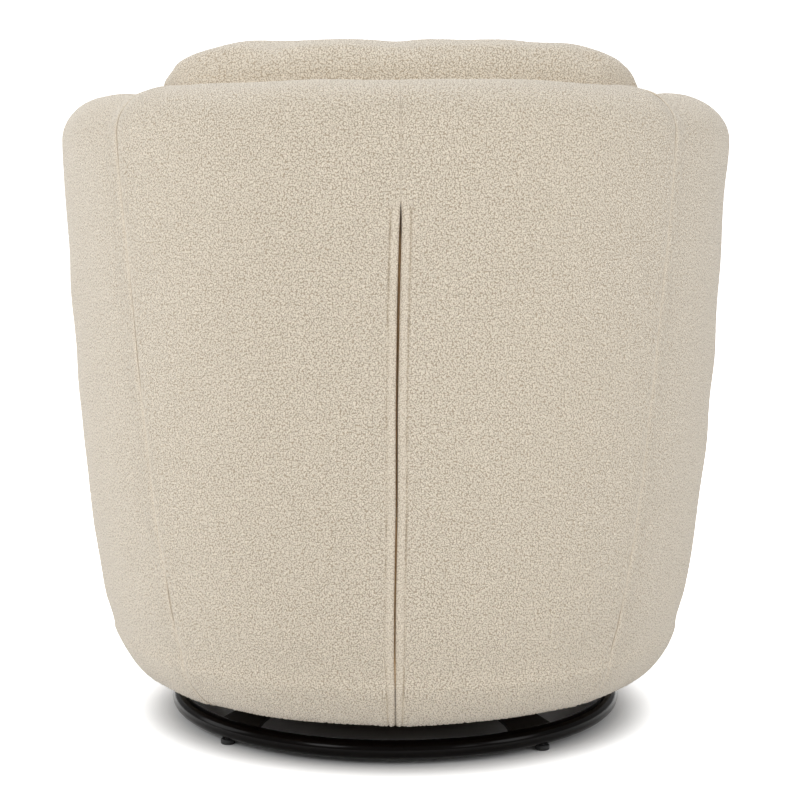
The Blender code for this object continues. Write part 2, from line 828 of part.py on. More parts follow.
def add_deck(deck_cloth, fabric, seat):
    """Deck pad on the springs and the roll along the front rail."""
    radius = INNER_FACE - SOFT_FIT
    outline = barrel_outline(radius, radius)
    run = nose_centre(section(arm_crest(1), even(0)), DECK_ROW)
    outline = [(x, -run if y == -radius else y) for x, y in outline]
    add_solid("deck_pad", *prism(outline, PAD_BOTTOM, PAD_TOP), deck_cloth, seat)
    back = -run - GAP
    front = back - EDGE_ROLL_DEPTH
    bottom = DECK_LEVEL
    round_off = (PAD_TOP - bottom) / 2
    profile = [(back, bottom), (back, PAD_TOP)]
    for step in range(RIM_STEPS + 1):
        angle = QUARTER_TURN - math.pi * step / RIM_STEPS
        profile.append((front + round_off - round_off * math.cos(angle),
                        bottom + round_off + round_off * math.sin(angle)))
    count = len(profile)
    points = [(end * radius, y, z) for end in (-1, 1) for y, z in profile]
    faces = [tuple(range(count)), tuple(reversed(range(count, 2 * count)))]
    for index in range(count):
        after = (index + 1) % count
        faces.append((index, index + count, after + count, after))
    add_solid("front_edge_roll", points, faces, fabric, seat)


# Loose cushions
def cube_grid(counts):
    """Points and faces of a box from -1 to 1, divided evenly along each side."""
    nx, ny, nz = counts
    index = {}
    points = []
    faces = []

    def number(i, j, k):
        key = (i, j, k)
        if key not in index:
            index[key] = len(points)
            points.append((2 * i / nx - 1, 2 * j / ny - 1, 2 * k / nz - 1))
        return index[key]

    for i in range(nx):
        for j in range(ny):
            for k in (0, nz):
                faces.append([number(i, j, k), number(i + 1, j, k),
                              number(i + 1, j + 1, k), number(i, j + 1, k)])
    for i in range(nx):
        for k in range(nz):
            for j in (0, ny):
                faces.append([number(i, j, k), number(i + 1, j, k),
                              number(i + 1, j, k + 1), number(i, j, k + 1)])
    for j in range(ny):
        for k in range(nz):
            for i in (0, nx):
                faces.append([number(i, j, k), number(i, j + 1, k),
                              number(i, j + 1, k + 1), number(i, j, k + 1)])
    return points, faces


def rounded(a, b, power):
    """Move a point of a square onto a rounded square of the same width."""
    size = max(abs(a), abs(b))
    if size == 0:
        return a, b
    length = (abs(a) ** power + abs(b) ** power) ** (1 / power)
    return a * size / length, b * size / length


def crown(a, b, power):
    return (1 - abs(a) ** power) * (1 - abs(b) ** power)


def seam_draw(a, b, c):
    """Draw the boxing in between its two seams."""
    return 1 - SEAM_DRAW_SHARE * (1 - c * c) * max(abs(a), abs(b)) ** SEAM_DRAW_POWER


def add_seat_cushion(fabric):
    """Boxed cushion, round at the rear, flat below and crowned above."""
    half = INNER_FACE - SOFT_FIT
    thickness = SEAT_HEIGHT - SEAT_CROWN - CUSHION_BOTTOM
    base, faces = cube_grid(SEAT_GRID_STEPS)
    points = []
    for a, b, c in base:
        flat_a, flat_b = rounded(a, b, 2 if b > 0 else SEAT_ROUNDING)
        draw = seam_draw(a, b, c)
        reach = half if b > 0 else SEAT_FRONT
        lift = thickness + SEAT_CROWN * crown(flat_a, flat_b, SEAT_CROWN_POWER)
        points.append((half * flat_a * draw, reach * flat_b * draw, CUSHION_BOTTOM + lift * (c + 1) / 2))
    origin = add_axis("seat_cushion_slide", (0, 0, CUSHION_BOTTOM))
    add_solid("seat_cushion", points, faces, fabric, origin)


def add_back_cushion(fabric):
    """Boxed cushion that stands on the seat cushion and fills the round back."""
    bottom = SEAT_HEIGHT + GAP
    middle = (bottom + BACK_CUSHION_TOP) / 2
    tall = (BACK_CUSHION_TOP - bottom) / 2
    rear = INNER_FACE - SOFT_FIT
    base, faces = cube_grid(BACK_GRID_STEPS)
    points = []
    for a, c, b in base:
        flat_a, flat_b = rounded(a, b, BACK_ROUNDING)
        draw = seam_draw(a, b, c)
        x = BACK_CUSHION_HALF * flat_a * draw
        back_face = math.sqrt(rear * rear - x * x)
        front_face = BACK_CUSHION_FRONT - BACK_CUSHION_WRAP * flat_a * flat_a
        half = (back_face - front_face) / 2
        swell = EDGE_SHARE + (1 - EDGE_SHARE) * crown(flat_a, flat_b, BACK_CROWN_POWER)
        y = (back_face + front_face) / 2 + c * half * swell
        points.append((x + BACK_CUSHION_SHIFT * swell, y - SOFT_FIT, middle + tall * flat_b * draw))
    origin = add_axis("back_cushion_lift", (0, BACK_CUSHION_FRONT, bottom))
    add_solid("back_cushion", points, faces, fabric, origin)


# Base
def turned(profile, segments, phase=0.0):
    """A closed profile of radius and height turned about the upright axis."""
    points = []
    faces = []
    count = len(profile)
    for segment in range(segments):
        turn = 2 * math.pi * (segment + phase) / segments
        points.extend((r * math.sin(turn), r * math.cos(turn), z) for r, z in profile)
    for segment in range(segments):
        start = segment * count
        after = (segment + 1) % segments * count
        for index in range(count):
            other = (index + 1) % count
            faces.append((start + index, start + other, after + other, after + index))
    return points, faces


def moved(shape, place):
    points, faces = shape
    return [Vector(point) + Vector(place) for point in points], faces


def capped_turn(profile, segments, phase=0.0):
    """A solid of revolution whose open profile starts and ends at its axis."""
    points = []
    faces = []
    count = len(profile)
    for segment in range(segments):
        turn = 2 * math.pi * (segment + phase) / segments
        points.extend((r * math.sin(turn), r * math.cos(turn), z) for r, z in profile)
    for segment in range(segments):
        start = segment * count
        after = (segment + 1) % segments * count
        for index in range(count - 1):
            faces.append((start + index, start + index + 1, after + index + 1, after + index))
    faces.append(tuple(segment * count for segment in range(segments)))
    faces.append(tuple(segment * count + count - 1 for segment in reversed(range(segments))))
    return points, faces


def foot_angles():
    return [BASE_YAW + 2 * math.pi * (index + 0.5) / ARM_COUNT for index in range(ARM_COUNT)]


def add_ring(black):
    level = GLIDE_HEIGHT + TUBE
    profile = []
    for step in range(TUBE_SEGMENTS):
        turn = 2 * math.pi * step / TUBE_SEGMENTS
        profile.append((RING_RADIUS + TUBE * math.cos(turn), level + TUBE * math.sin(turn)))
    ring = add_solid("base_ring", *turned(profile, RING_SEGMENTS), black)
    centres = [(RING_RADIUS * math.sin(angle), RING_RADIUS * math.cos(angle)) for angle in foot_angles()]
    top = GLIDE_HEIGHT + STEM_LENGTH + GAP
    cut_holes(ring, centres, STEM_RADIUS + RUNNING_FIT, GLIDE_HEIGHT - OVERRUN, top)


def add_glides(rubber):
    for index, angle in enumerate(foot_angles()):
        edge = GLIDE_RADIUS - GLIDE_EDGE
        top = GLIDE_HEIGHT - GAP
        profile = [(edge, 0), (GLIDE_RADIUS, GLIDE_EDGE), (GLIDE_RADIUS, top), (STEM_RADIUS, top),
                   (STEM_RADIUS, GLIDE_HEIGHT + STEM_LENGTH)]
        place = (RING_RADIUS * math.sin(angle), RING_RADIUS * math.cos(angle), 0)
        shape = moved(capped_turn(profile, GLIDE_SIDES), place)
        add_solid(f"glide_{index + 1}", *shape, rubber)


def arm_half_width(share):
    """Half width of a base arm, which flares where it meets the ring."""
    return ARM_HALF_WIDTH + ARM_FLARE * max(0, share) ** 2


def base_arm(angle):
    """A flat bar that leaves the ring's inner side, rises and levels out at the hub."""
    out = Vector((math.sin(angle), math.cos(angle), 0))
    along = Vector((out.y, -out.x, 0))
    end = (RING_RADIUS - TUBE) * math.cos(math.pi / RING_SEGMENTS) - GAP
    start_level = GLIDE_HEIGHT + TUBE + ARM_THICKNESS / 2
    rise = HUB_TOP - start_level
    knee = end - rise / math.tan(ARM_RISE)
    flare_end = end - (end - knee) * ARM_FLARE_SHARE
    stations = [(end, start_level, 1), (flare_end, start_level + rise * ARM_FLARE_SHARE, 0),
                (knee, HUB_TOP, 0), (HUB_HALF + GAP, HUB_TOP, 0)]
    tops = []
    lows = []
    for index, (radius, level, share) in enumerate(stations):
        half = arm_half_width(share)
        for sweep in ARM_SWEEP_SHARES:
            offset = sweep * half
            reach = math.sqrt(radius * radius - offset * offset) if index == 0 else radius
            spot = out * reach + along * offset
            tops.append((spot.x, spot.y, level))
            lows.append((spot.x, spot.y, level - ARM_THICKNESS))
    return close_sheets(tops, lows, list(range(len(tops))), len(ARM_SWEEP_SHARES))


def add_arms(black):
    for index, angle in enumerate(foot_angles()):
        add_solid(f"base_arm_{index + 1}", *base_arm(angle), black)
    corners = []
    for index in range(ARM_COUNT):
        turn = foot_angles()[index] + math.pi / ARM_COUNT
        reach = HUB_HALF / math.cos(math.pi / ARM_COUNT)
        corners.append((reach * math.sin(turn), reach * math.cos(turn)))
    bottom = HUB_TOP - ARM_THICKNESS
    hub = add_solid("base_hub_plate", *prism(corners, bottom, HUB_TOP), black, smooth=False)
    cut_holes(hub, bolt_centres(BASE_YAW), BOLT_HOLE, bottom - OVERRUN, HUB_TOP + OVERRUN)


# Swivel
def pressed(middle):
    """A closed profile, one plate thick, along the middle line of a pressed plate."""
    left = []
    right = []
    for index, (r, z) in enumerate(middle):
        before = middle[max(index - 1, 0)]
        after = middle[min(index + 1, len(middle) - 1)]
        along = Vector((after[0] - before[0], after[1] - before[1])).normalized()
        normal = Vector((-along.y, along.x)) * (PLATE / 2)
        left.append((r + normal.x, z + normal.y))
        right.append((r - normal.x, z - normal.y))
    return left + list(reversed(right))


def race_arc(level, direction):
    """The groove in which the balls run, as middle-line points."""
    radius = BALL + RUNNING_FIT + PLATE / 2
    points = []
    for share in RACE_ARC_SHARES:
        angle = share * RACE_ANGLE
        points.append((RACE_RADIUS + radius * math.sin(angle),
                       level - direction * radius * math.cos(angle)))
    return points


def race_heights():
    """Middle levels of the lower land, the balls and the upper land."""
    lower = HUB_TOP + GAP + PLATE / 2 + LOWER_STEP
    drop = (BALL + RUNNING_FIT + PLATE / 2) * math.cos(RACE_ANGLE)
    return lower, lower + drop, lower + 2 * drop


def lower_profile():
    lower, ball, _ = race_heights()
    flat = lower - LOWER_STEP
    step = RACE_RADIUS - RACE_LAND - STEP_RUN
    return pressed([(PLATE_BORE, flat), (step - STEP_RUN, flat), (step, lower)]
                   + race_arc(ball, 1) + [(RACE_RADIUS + RACE_LAND + RACE_LIP, lower)])


def upper_profile():
    """The turning plate, whose rolled edge reaches under the fixed plate's lip."""
    lower, ball, upper = race_heights()
    flat = upper + UPPER_STEP
    step = RACE_RADIUS - RACE_LAND - STEP_RUN
    lip = RACE_RADIUS + RACE_LAND + RACE_LIP
    wall = lip + FLANGE_CLEAR + PLATE / 2
    under = lower - PLATE - FLANGE_CLEAR
    middle = [(PLATE_BORE, flat), (step - STEP_RUN, flat), (step, upper)] + race_arc(ball, -1)
    middle += [(wall - PLATE / 2, upper), (wall, upper - PLATE / 2)]
    middle += [(wall, under), (lip - RACE_LIP / 2, under)]
    return pressed(middle), flat + PLATE / 2


def add_swivel(steel, plywood, cage_axis, seat):
    lower = add_solid("swivel_lower_plate", *turned(lower_profile(), PLATE_SEGMENTS), steel)
    low_face = HUB_TOP - OVERRUN
    cut_holes(lower, bolt_centres(BASE_YAW), BOLT_HOLE, low_face, HUB_TOP + GAP + PLATE + OVERRUN)
    profile, upper_face = upper_profile()
    upper = add_solid("swivel_upper_plate", *turned(profile, PLATE_SEGMENTS), steel, seat)
    cut_holes(upper, bolt_centres(0), BOLT_HOLE, upper_face - PLATE - OVERRUN, upper_face + OVERRUN)
    block_bottom = upper_face + GAP
    block_top = BOARD_BOTTOM - GAP
    radius = RACE_RADIUS + RACE_LAND
    outline = []
    for step in range(PLATE_SEGMENTS):
        turn = 2 * math.pi * step / PLATE_SEGMENTS
        outline.append((radius * math.cos(turn), radius * math.sin(turn)))
    block = add_solid("swivel_block", *prism(outline, block_bottom, block_top), plywood, seat)
    cut_holes(block, bolt_centres(0), BOLT_HOLE, block_bottom - OVERRUN, block_top + OVERRUN)
    add_bolts(steel, upper_face, seat)
    add_balls(steel, cage_axis)


def add_bolts(steel, upper_face, seat):
    """Bolts of the base, with weld nuts under the hub, and of the seat, with tee nuts."""
    hub = bpy.data.objects["base_hub_plate"]
    board = bpy.data.objects["bottom_board"]
    head = HUB_TOP + GAP + PLATE + GAP
    low = HUB_TOP - ARM_THICKNESS - NUT_HEIGHT
    nuts = []
    for index, (x, y) in enumerate(bolt_centres(BASE_YAW)):
        profile = [(BOLT_RADIUS, low), (BOLT_RADIUS, head), (BOLT_HEAD, head),
                   (BOLT_HEAD, head + HEAD_HEIGHT)]
        shape = moved(capped_turn(profile, BOLT_SIDES), (x, y, 0))
        add_solid(f"base_bolt_{index + 1}", *shape, steel)
        nuts.append(moved(nut(low, NUT_HEIGHT + OVERRUN), (x, y, 0)))
    combine(hub, nuts, "UNION")
    head = upper_face - PLATE - GAP
    nuts = []
    for index, (x, y) in enumerate(bolt_centres(0)):
        profile = [(BOLT_HEAD, head - HEAD_HEIGHT), (BOLT_HEAD, head), (BOLT_RADIUS, head),
                   (BOLT_RADIUS, BOARD_TOP + NUT_HEIGHT)]
        shape = moved(capped_turn(profile, BOLT_SIDES), (x, y, 0))
        add_solid(f"seat_bolt_{index + 1}", *shape, steel, seat)
        nuts.append(moved(nut(BOARD_TOP - OVERRUN, NUT_HEIGHT + OVERRUN), (x, y, 0)))
    combine(board, nuts, "UNION")


def nut(bottom, height):
    profile = [(BOLT_HOLE, bottom), (NUT_RADIUS, bottom), (NUT_RADIUS, bottom + height),
               (BOLT_HOLE, bottom + height)]
    return turned(profile, BOLT_SIDES)


def add_balls(steel, cage_axis):
    """The flat cage with the balls that it carries round between the races."""
    _, level, _ = race_heights()
    shapes = []
    for index in range(BALL_COUNT):
        angle = 2 * math.pi * index / BALL_COUNT
        ball = bmesh.new()
        bmesh.ops.create_icosphere(ball, subdivisions=BALL_STEPS, radius=BALL)
        points = [vertex.co.copy() for vertex in ball.verts]
        faces = [tuple(vertex.index for vertex in face.verts) for face in ball.faces]
        ball.free()
        place = (RACE_RADIUS * math.sin(angle), RACE_RADIUS * math.cos(angle), level)
        shapes.append(moved((points, faces), place))
    bottom = level - CAGE / 2
    top = level + CAGE / 2
    profile = [(RACE_RADIUS - CAGE_HALF, bottom), (RACE_RADIUS + CAGE_HALF, bottom),
               (RACE_RADIUS + CAGE_HALF, top), (RACE_RADIUS - CAGE_HALF, top)]
    cage = add_solid("ball_cage", *turned(profile, PLATE_SEGMENTS), steel, cage_axis)
    combine(cage, shapes, "UNION")


# Zip
def tape_profile():
    """Offset from the centre and depth of each corner of one zip tape with its coil."""
    under = COVER + GAP
    coil = under + SLIDER_PLATE + GAP
    tape_edge = COIL_HALF_GAP + COIL_WIDTH
    clear = SLIDER_HALF + RUNNING_FIT
    bend = clear + COIL_WIDTH
    tape = coil + COIL_HEIGHT / 2
    return [(COIL_HALF_GAP, coil), (tape_edge, coil), (tape_edge, tape - TAPE), (clear, tape - TAPE),
            (bend, under), (TAPE_HALF, under), (TAPE_HALF, under + TAPE), (bend + TAPE, under + TAPE),
            (clear + TAPE, tape), (tape_edge, tape), (tape_edge, coil + COIL_HEIGHT),
            (COIL_HALF_GAP, coil + COIL_HEIGHT)]


def add_zip(tape_finish, steel, seat):
    rows = list(range(UPPER_OUTER_ROW, ROLL_ROW + 1))
    profile = tape_profile()
    count = len(profile)
    for label, side in (("left", 1), ("right", -1)):
        points = []
        faces = []
        for row in rows:
            for offset, depth in profile:
                points.append(shell_point((side, 0.0, offset), row, even(depth)))
        for index in range(len(rows) - 1):
            for corner in range(count):
                after = (corner + 1) % count
                start = index * count
                faces.append((start + corner, start + after, start + count + after, start + count + corner))
        faces.append(tuple(range(count)))
        last = (len(rows) - 1) * count
        faces.append(tuple(reversed(range(last, last + count))))
        add_solid(f"zip_tape_{label}", points, faces, tape_finish, seat)
    add_slider(steel, seat)


def zip_line():
    """Lower end, direction and outward normal of the zip's straight stretch."""
    low = Vector(shell_point((1, 0.0, 0.0), DECK_ROW, even(0)))
    high = Vector(shell_point((1, 0.0, 0.0), UPPER_OUTER_ROW, even(0)))
    along = (high - low).normalized()
    normal = Vector((0, along.z, -along.y))
    return low, high, along, normal


def zip_block(outline, start, length):
    """Extrude an outline of offsets and depths along the zip's straight stretch."""
    low, _, along, normal = zip_line()
    count = len(outline)
    points = []
    for reach in (start, start + length):
        for offset, depth in outline:
            points.append(low + along * reach - normal * depth + Vector((offset, 0, 0)))
    faces = [tuple(range(count)), tuple(reversed(range(count, 2 * count)))]
    for index in range(count):
        after = (index + 1) % count
        faces.append((index, index + count, after + count, after))
    return points, faces


def add_slider(steel, seat):
    """The zip slider: two plates joined by the web that runs between the coils."""
    low, high, along, _ = zip_line()
    outer = COVER + GAP
    inner = outer + 2 * SLIDER_PLATE + COIL_HEIGHT + 3 * GAP
    web = COIL_HALF_GAP / 2
    outline = [(-SLIDER_HALF, outer), (SLIDER_HALF, outer), (SLIDER_HALF, outer + SLIDER_PLATE),
               (web, outer + SLIDER_PLATE), (web, inner - SLIDER_PLATE),
               (SLIDER_HALF, inner - SLIDER_PLATE),
               (SLIDER_HALF, inner), (-SLIDER_HALF, inner), (-SLIDER_HALF, inner - SLIDER_PLATE),
               (-web, inner - SLIDER_PLATE), (-web, outer + SLIDER_PLATE),
               (-SLIDER_HALF, outer + SLIDER_PLATE)]
    axis = add_axis("zip_travel", low + along * SLIDER_PARK)
    add_solid("zip_slider", *zip_block(outline, SLIDER_PARK, SLIDER_LENGTH), steel, axis, smooth=False)
    coil = outer + SLIDER_PLATE + GAP + STOP_INSET
    deep = coil + COIL_HEIGHT - 2 * STOP_INSET
    bite = COIL_HALF_GAP + COIL_WIDTH / 2
    stop = [(-web, coil), (bite, coil), (bite, deep), (-web, deep)]
    run = (high - low).length
    ends = [zip_block(stop, SLIDER_PARK - GAP - STOP_LENGTH, STOP_LENGTH),
            zip_block(stop, run - 2 * STOP_LENGTH, STOP_LENGTH)]
    combine(bpy.data.objects["zip_tape_left"], ends, "UNION")


def main():
    clear_scene()
    fabric = finish("nubby fabric", (0.62, 0.53, 0.41), 0.95, 0.0)
    deck_cloth = finish("deck cloth", (0.50, 0.46, 0.40), 0.95, 0.0)
    foam = finish("foam", (0.80, 0.74, 0.52), 0.9, 0.0)
    plywood = finish("plywood", (0.55, 0.36, 0.19), 0.6, 0.0)
    cambric = finish("dust cloth", (0.02, 0.02, 0.02), 0.95, 0.0)
    black = finish("black satin paint", (0.012, 0.011, 0.011), 0.38, 0.0)
    steel = finish("zinc plated steel", (0.55, 0.55, 0.53), 0.35, 1.0)
    rubber = finish("black plastic", (0.02, 0.02, 0.02), 0.5, 0.0)
    tape = finish("zip tape", (0.24, 0.15, 0.09), 0.8, 0.0)
    seat = add_axis("swivel_axis", (0, 0, 0))
    cage_axis = add_axis("cage_axis", (0, 0, 0))
    add_ring(black)
    add_glides(rubber)
    add_arms(black)
    add_boards(plywood, cambric, seat)
    add_swivel(steel, plywood, cage_axis, seat)
    add_rails(plywood, seat)
    add_posts(plywood, seat)
    add_springs(steel, seat)
    add_deck(deck_cloth, fabric, seat)
    add_foams(foam, seat)
    add_front(fabric, foam, seat)
    add_covers(fabric, seat)
    add_zip(tape, steel, seat)
    add_seat_cushion(fabric)
    add_back_cushion(fabric)


main()
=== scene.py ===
"""Looks of a swivel armchair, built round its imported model.

Metres, +Z up, origin on the swivel axis at floor level. The chair faces -Y and its outside
back faces +Y. Each operator makes one piece or one group of like pieces.
"""

import json
import math

import bmesh
import bpy
import numpy as np
from bpy.props import FloatProperty, FloatVectorProperty, IntProperty, PointerProperty
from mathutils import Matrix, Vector
from mathutils.kdtree import KDTree


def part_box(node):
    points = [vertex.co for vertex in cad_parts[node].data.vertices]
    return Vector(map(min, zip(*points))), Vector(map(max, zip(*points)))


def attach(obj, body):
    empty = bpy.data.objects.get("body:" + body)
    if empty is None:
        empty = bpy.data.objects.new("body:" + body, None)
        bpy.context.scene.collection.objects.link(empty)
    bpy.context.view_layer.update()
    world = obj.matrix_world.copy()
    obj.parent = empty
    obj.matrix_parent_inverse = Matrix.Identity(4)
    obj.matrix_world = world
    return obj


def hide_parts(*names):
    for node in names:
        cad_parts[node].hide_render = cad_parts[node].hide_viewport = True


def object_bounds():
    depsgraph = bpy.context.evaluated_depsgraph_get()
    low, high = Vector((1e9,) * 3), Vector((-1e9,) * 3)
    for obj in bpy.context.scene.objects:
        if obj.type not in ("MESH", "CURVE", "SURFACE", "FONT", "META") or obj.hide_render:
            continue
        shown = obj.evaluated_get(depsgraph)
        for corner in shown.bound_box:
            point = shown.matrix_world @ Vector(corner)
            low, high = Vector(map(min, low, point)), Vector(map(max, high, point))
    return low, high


bl_info = {
    "name": "Swivel armchair",
    "version": (1, 0, 0),
    "blender": (4, 5, 0),
    "location": "3D View > Sidebar > Armchair",
    "description": "Covers, cushions, zip, frame and base of a swivel armchair",
    "category": "Object",
}

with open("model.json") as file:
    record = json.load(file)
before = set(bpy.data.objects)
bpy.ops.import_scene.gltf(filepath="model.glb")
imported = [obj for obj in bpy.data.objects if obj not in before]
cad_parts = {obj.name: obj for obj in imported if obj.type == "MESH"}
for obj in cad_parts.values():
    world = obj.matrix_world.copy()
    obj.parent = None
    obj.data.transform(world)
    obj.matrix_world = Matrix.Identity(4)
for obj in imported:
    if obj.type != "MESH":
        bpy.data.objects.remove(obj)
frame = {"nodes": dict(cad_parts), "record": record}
CAD_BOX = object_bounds()

# Shell, as the solids have it
GAP = 0.0003
COVER = 0.003
SHELL_RADIUS = CAD_BOX[1].x
SHELL_BOTTOM = 0.052
WALL = 0.103
BACK_HEIGHT = 0.735
SIDE_FALL = 0.044
ARM_FALL = 0.014
RIM_RISE = 0.045
ROLL_RADIUS = 0.045
ROLL_HEIGHT = 0.050
HEM_RADIUS = SHELL_RADIUS - 0.1185
TUCK = 0.0073
SEAM_LOW = math.radians(45.0)
SEAM_HIGH = math.radians(53.0)
SIDE_HEIGHT_SHARES = np.array((0.0, 0.078, 0.15, 0.232, 0.35, 0.87, 0.93, 1.0))
SIDE_RADIUS_SHARES = np.array((0.8652, 0.8652, 0.8930, 0.9158, 0.9422, 0.9961, 1.0, 1.0))
DECK_LEVEL = 0.2703
INNER_FACE = SHELL_RADIUS - WALL
FOOT_RADIUS = SHELL_RADIUS * SIDE_RADIUS_SHARES[0]
ROLL_CENTRE = FOOT_RADIUS - ROLL_RADIUS
ROLL_LEVEL = SHELL_BOTTOM + ROLL_HEIGHT
WALL_CENTRE = (SHELL_RADIUS + INNER_FACE) / 2
QUARTER_TURN = math.pi / 2

# Stretches of a cover's section, as rows: inside, rim, outside, roll under, hem
RIM, OUTSIDE, ROLL, HEM = 1, 2, 3, 4
SIDE_SEAM, SIDE, ARM_FRONT, FRONT_SEAM = 1, 2, 3, 4
SEAM_EDGE = 0.0005
COARSE = 4
MERGE = 2e-6

# Seams: how far the cloth turns down, and how it swells, gathers, darkens and thins beside them
SEAM_DEPTH = 0.0005
SEAM_SWELL = 0.0003
SEAM_GATHER = 0.0002
SEAM_SHADE = 0.13
SEAM_LINE = 0.0014
SEAM_BARE = 0.003
SEAM_WIDTH = 0.0019
SWELL_AWAY = 0.010
SWELL_WIDTH = 0.007
FRONT_SEAM_DEPTH = 0.0012
FRONT_SEAM_SWELL = 0.0004
FRONT_SEAM_SHADE = 0.35
CENTRE_SEAM_SHADE = 0.10
CENTRE_SEAM_LINE = 0.0012

# Unevenness of the stuffed covers and gathers of their seams, whose seed is the same on both sides
BACK_WAVES = 0.0007
PANEL_WAVES = 0.0008
WAVE_SIZE = 0.12
GATHER_SIZE = 0.026
BACK_SEED, ARM_SEED, FRONT_SEED, GATHER_SEED = 3, 9, 12, 5
DECK_SEAM_DEPTH = 0.001
DECK_SEAM_WIDTH = 0.003

# Rim beside the side seams: a dip on both sides and the lower rim of the arms
RIM_BAND = 0.05
RIM_DIP = 0.0014
RIM_DIP_WIDTH = 0.010
RIM_FALL = 0.0068
RIM_FALL_START = 0.013
RIM_FALL_AWAY = 0.015
RIM_FALL_WIDTH = 0.050
RIM_HUMP_AWAY = 0.024
RIM_HUMP_WIDTH = 0.018

# Loops at the open edges and along the bottom, and the hollow that a lining doesn't follow
EDGE_LOOPS = 0.4
BOTTOM_LOOPS = 6.0
BOTTOM_LOOPS_HEIGHT = 0.007
FREE_HOLLOW = 0.001

# Zip opening in the middle of the outside back: its lean, its half width and the width of its lips
SLIT_TOP = 0.614
SLIT_FADE = 0.012
SEAM_HALF = 0.00008
LEAN_LEVELS = (0.068, 0.095, 0.138, 0.191, 0.298, 0.405, 0.512, 0.566, 0.603)
SLIT_LEANS = (0.0024, 0.0026, 0.0031, 0.0029, 0.0010, 0.0009, -0.0008, -0.0022, -0.0032)
SLIT_LEVELS = (0.052, 0.075, 0.095, 0.130, 0.20, 0.40, 0.50, 0.585, 0.605, 0.614)
SLIT_HALVES = (0.0002, 0.0002, 0.0004, 0.0009, 0.0011, 0.0012, 0.0015, 0.0014, 0.0008, 0.00015)
LIP_LEVELS = (0.060, 0.130)
LIP_WIDTHS = (0.0074, 0.0092)
LIP_FOLD = 0.0015
LIP_FOLD_SWELL = 0.0006
LIP_CREASE = 0.0011
LIP_CREASE_WIDTH = 0.0013
LIP_SWELL = 0.0008
LIP_SWELL_AWAY = 0.008
LIP_GATHER = 0.0004
# Painted shade where the lips fold into the slit and in their creases
LIP_FOLD_SHADE = 0.5
LIP_CREASE_SHADE = 0.14
LIP_BARE = 0.38

# Coil of the zip, and the topstitching of its lips
COIL_BEHIND = 0.0017
COIL_STEP = 0.0013
COIL_WIRE = 0.0003
STITCH_LENGTH = 0.0040
STITCH_RISE = 0.0008
STITCH_THREAD = 0.00035
STITCH_STEP = 0.0052
STITCH_SUNK = 0.0010
STITCH_TOP = SLIT_TOP - 0.004

# Padding: it gives way a little more than the cloth, and stays below the rim
FOAM_SLACK = 0.001
FOAM_TOP = 0.60
FOAM_DROP = 0.0080
FOAM_INSET = 0.15
FRONT_ROLL_SINK = 0.004
FRONT_ROLL_CLEARANCE = 0.0014
FRONT_ROLL_REACH = INNER_FACE + 0.004
FRONT_ROLL_END = 0.008
FRONT_ROLL_POWER = 0.65

# Base: its arms' turn from midway between the axes, their edges, the welds and the glides
BASE_ARM_TURN = math.radians(4.3)
BASE_ARM_EDGE = 0.0011
WELD_HALF = 0.030
WELD_LEVEL = 0.0052
WELD_SUNK = 0.0002
WELD_BEAD = 0.0017
WELD_FLATNESS = 0.75
WELD_STEP = 0.0014
GLIDE_TOP = 0.0057
GLIDE_EDGE = 0.0014
GLIDE_STEM = 0.003

# Dust cover and its staples
HUB_OPENING = 0.133
DUST_SAG = 0.0012
STAPLE_INSET = 0.008
STAPLE_STEP = 0.030
STAPLE_WIRE = 0.0004
STAPLED_TURN = 2.2

# Cushions
CUSHION_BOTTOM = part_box("seat_cushion")[0].z
SEAT_HEIGHT = 0.445
SEAT_CROWN = 0.020
SEAT_FRONT = 0.356
SOFT_FIT = 0.002
BACK_CUSHION_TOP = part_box("back_cushion")[1].z + 0.0045
BACK_CUSHION_HALF = INNER_FACE - 0.0010
BACK_CUSHION_FRONT = 0.120
BACK_CUSHION_WRAP = 0.080
BACK_CUSHION_SHIFT = -0.006
EDGE_SHARE = 0.62
SEAT_VOXEL = 0.0063
BACK_VOXEL = 0.0052
SEAM_LOOP_STEPS = 900
CUSHION_SEAM_DEPTH = 0.0020
CUSHION_SEAM_WIDTH = 0.0040
CUSHION_SEAM_SHADE = 0.35
CUSHION_GATHER_SIZE = 0.018
CUSHION_WAVES = 0.0010
CUSHION_WAVE_SIZE = 0.09
CUSHION_GATHER_SEED, CUSHION_SEED = 21, 31
SEAT_CLEAR_BELOW = 0.0008
SEAT_CLEAR_ABOVE = 0.0006
BACK_CLEAR_BELOW = 0.0010

# Camera, from the photograph
PHOTO_SIZE = 800
FOCAL_PIXELS = 3061.1
AXIS_PIXEL_X = 395.08
SENSOR = 36.0

# Floor, as distances from the swivel axis: a painted shadow darkens it under the chair, and it is plain white
# away from it
FLOOR_HALF = 45.0
FLOOR_PAINTED_SHADOW = (0.06, 0.24)
FLOOR_WHITE = (0.240, 0.33)


def set_inputs(node, values):
    """Set a node's inputs, and link those whose value is a socket."""
    for name, value in values.items():
        socket = node.inputs[name]
        if isinstance(value, bpy.types.NodeSocket):
            node.id_data.links.new(value, socket)
        else:
            socket.default_value = value


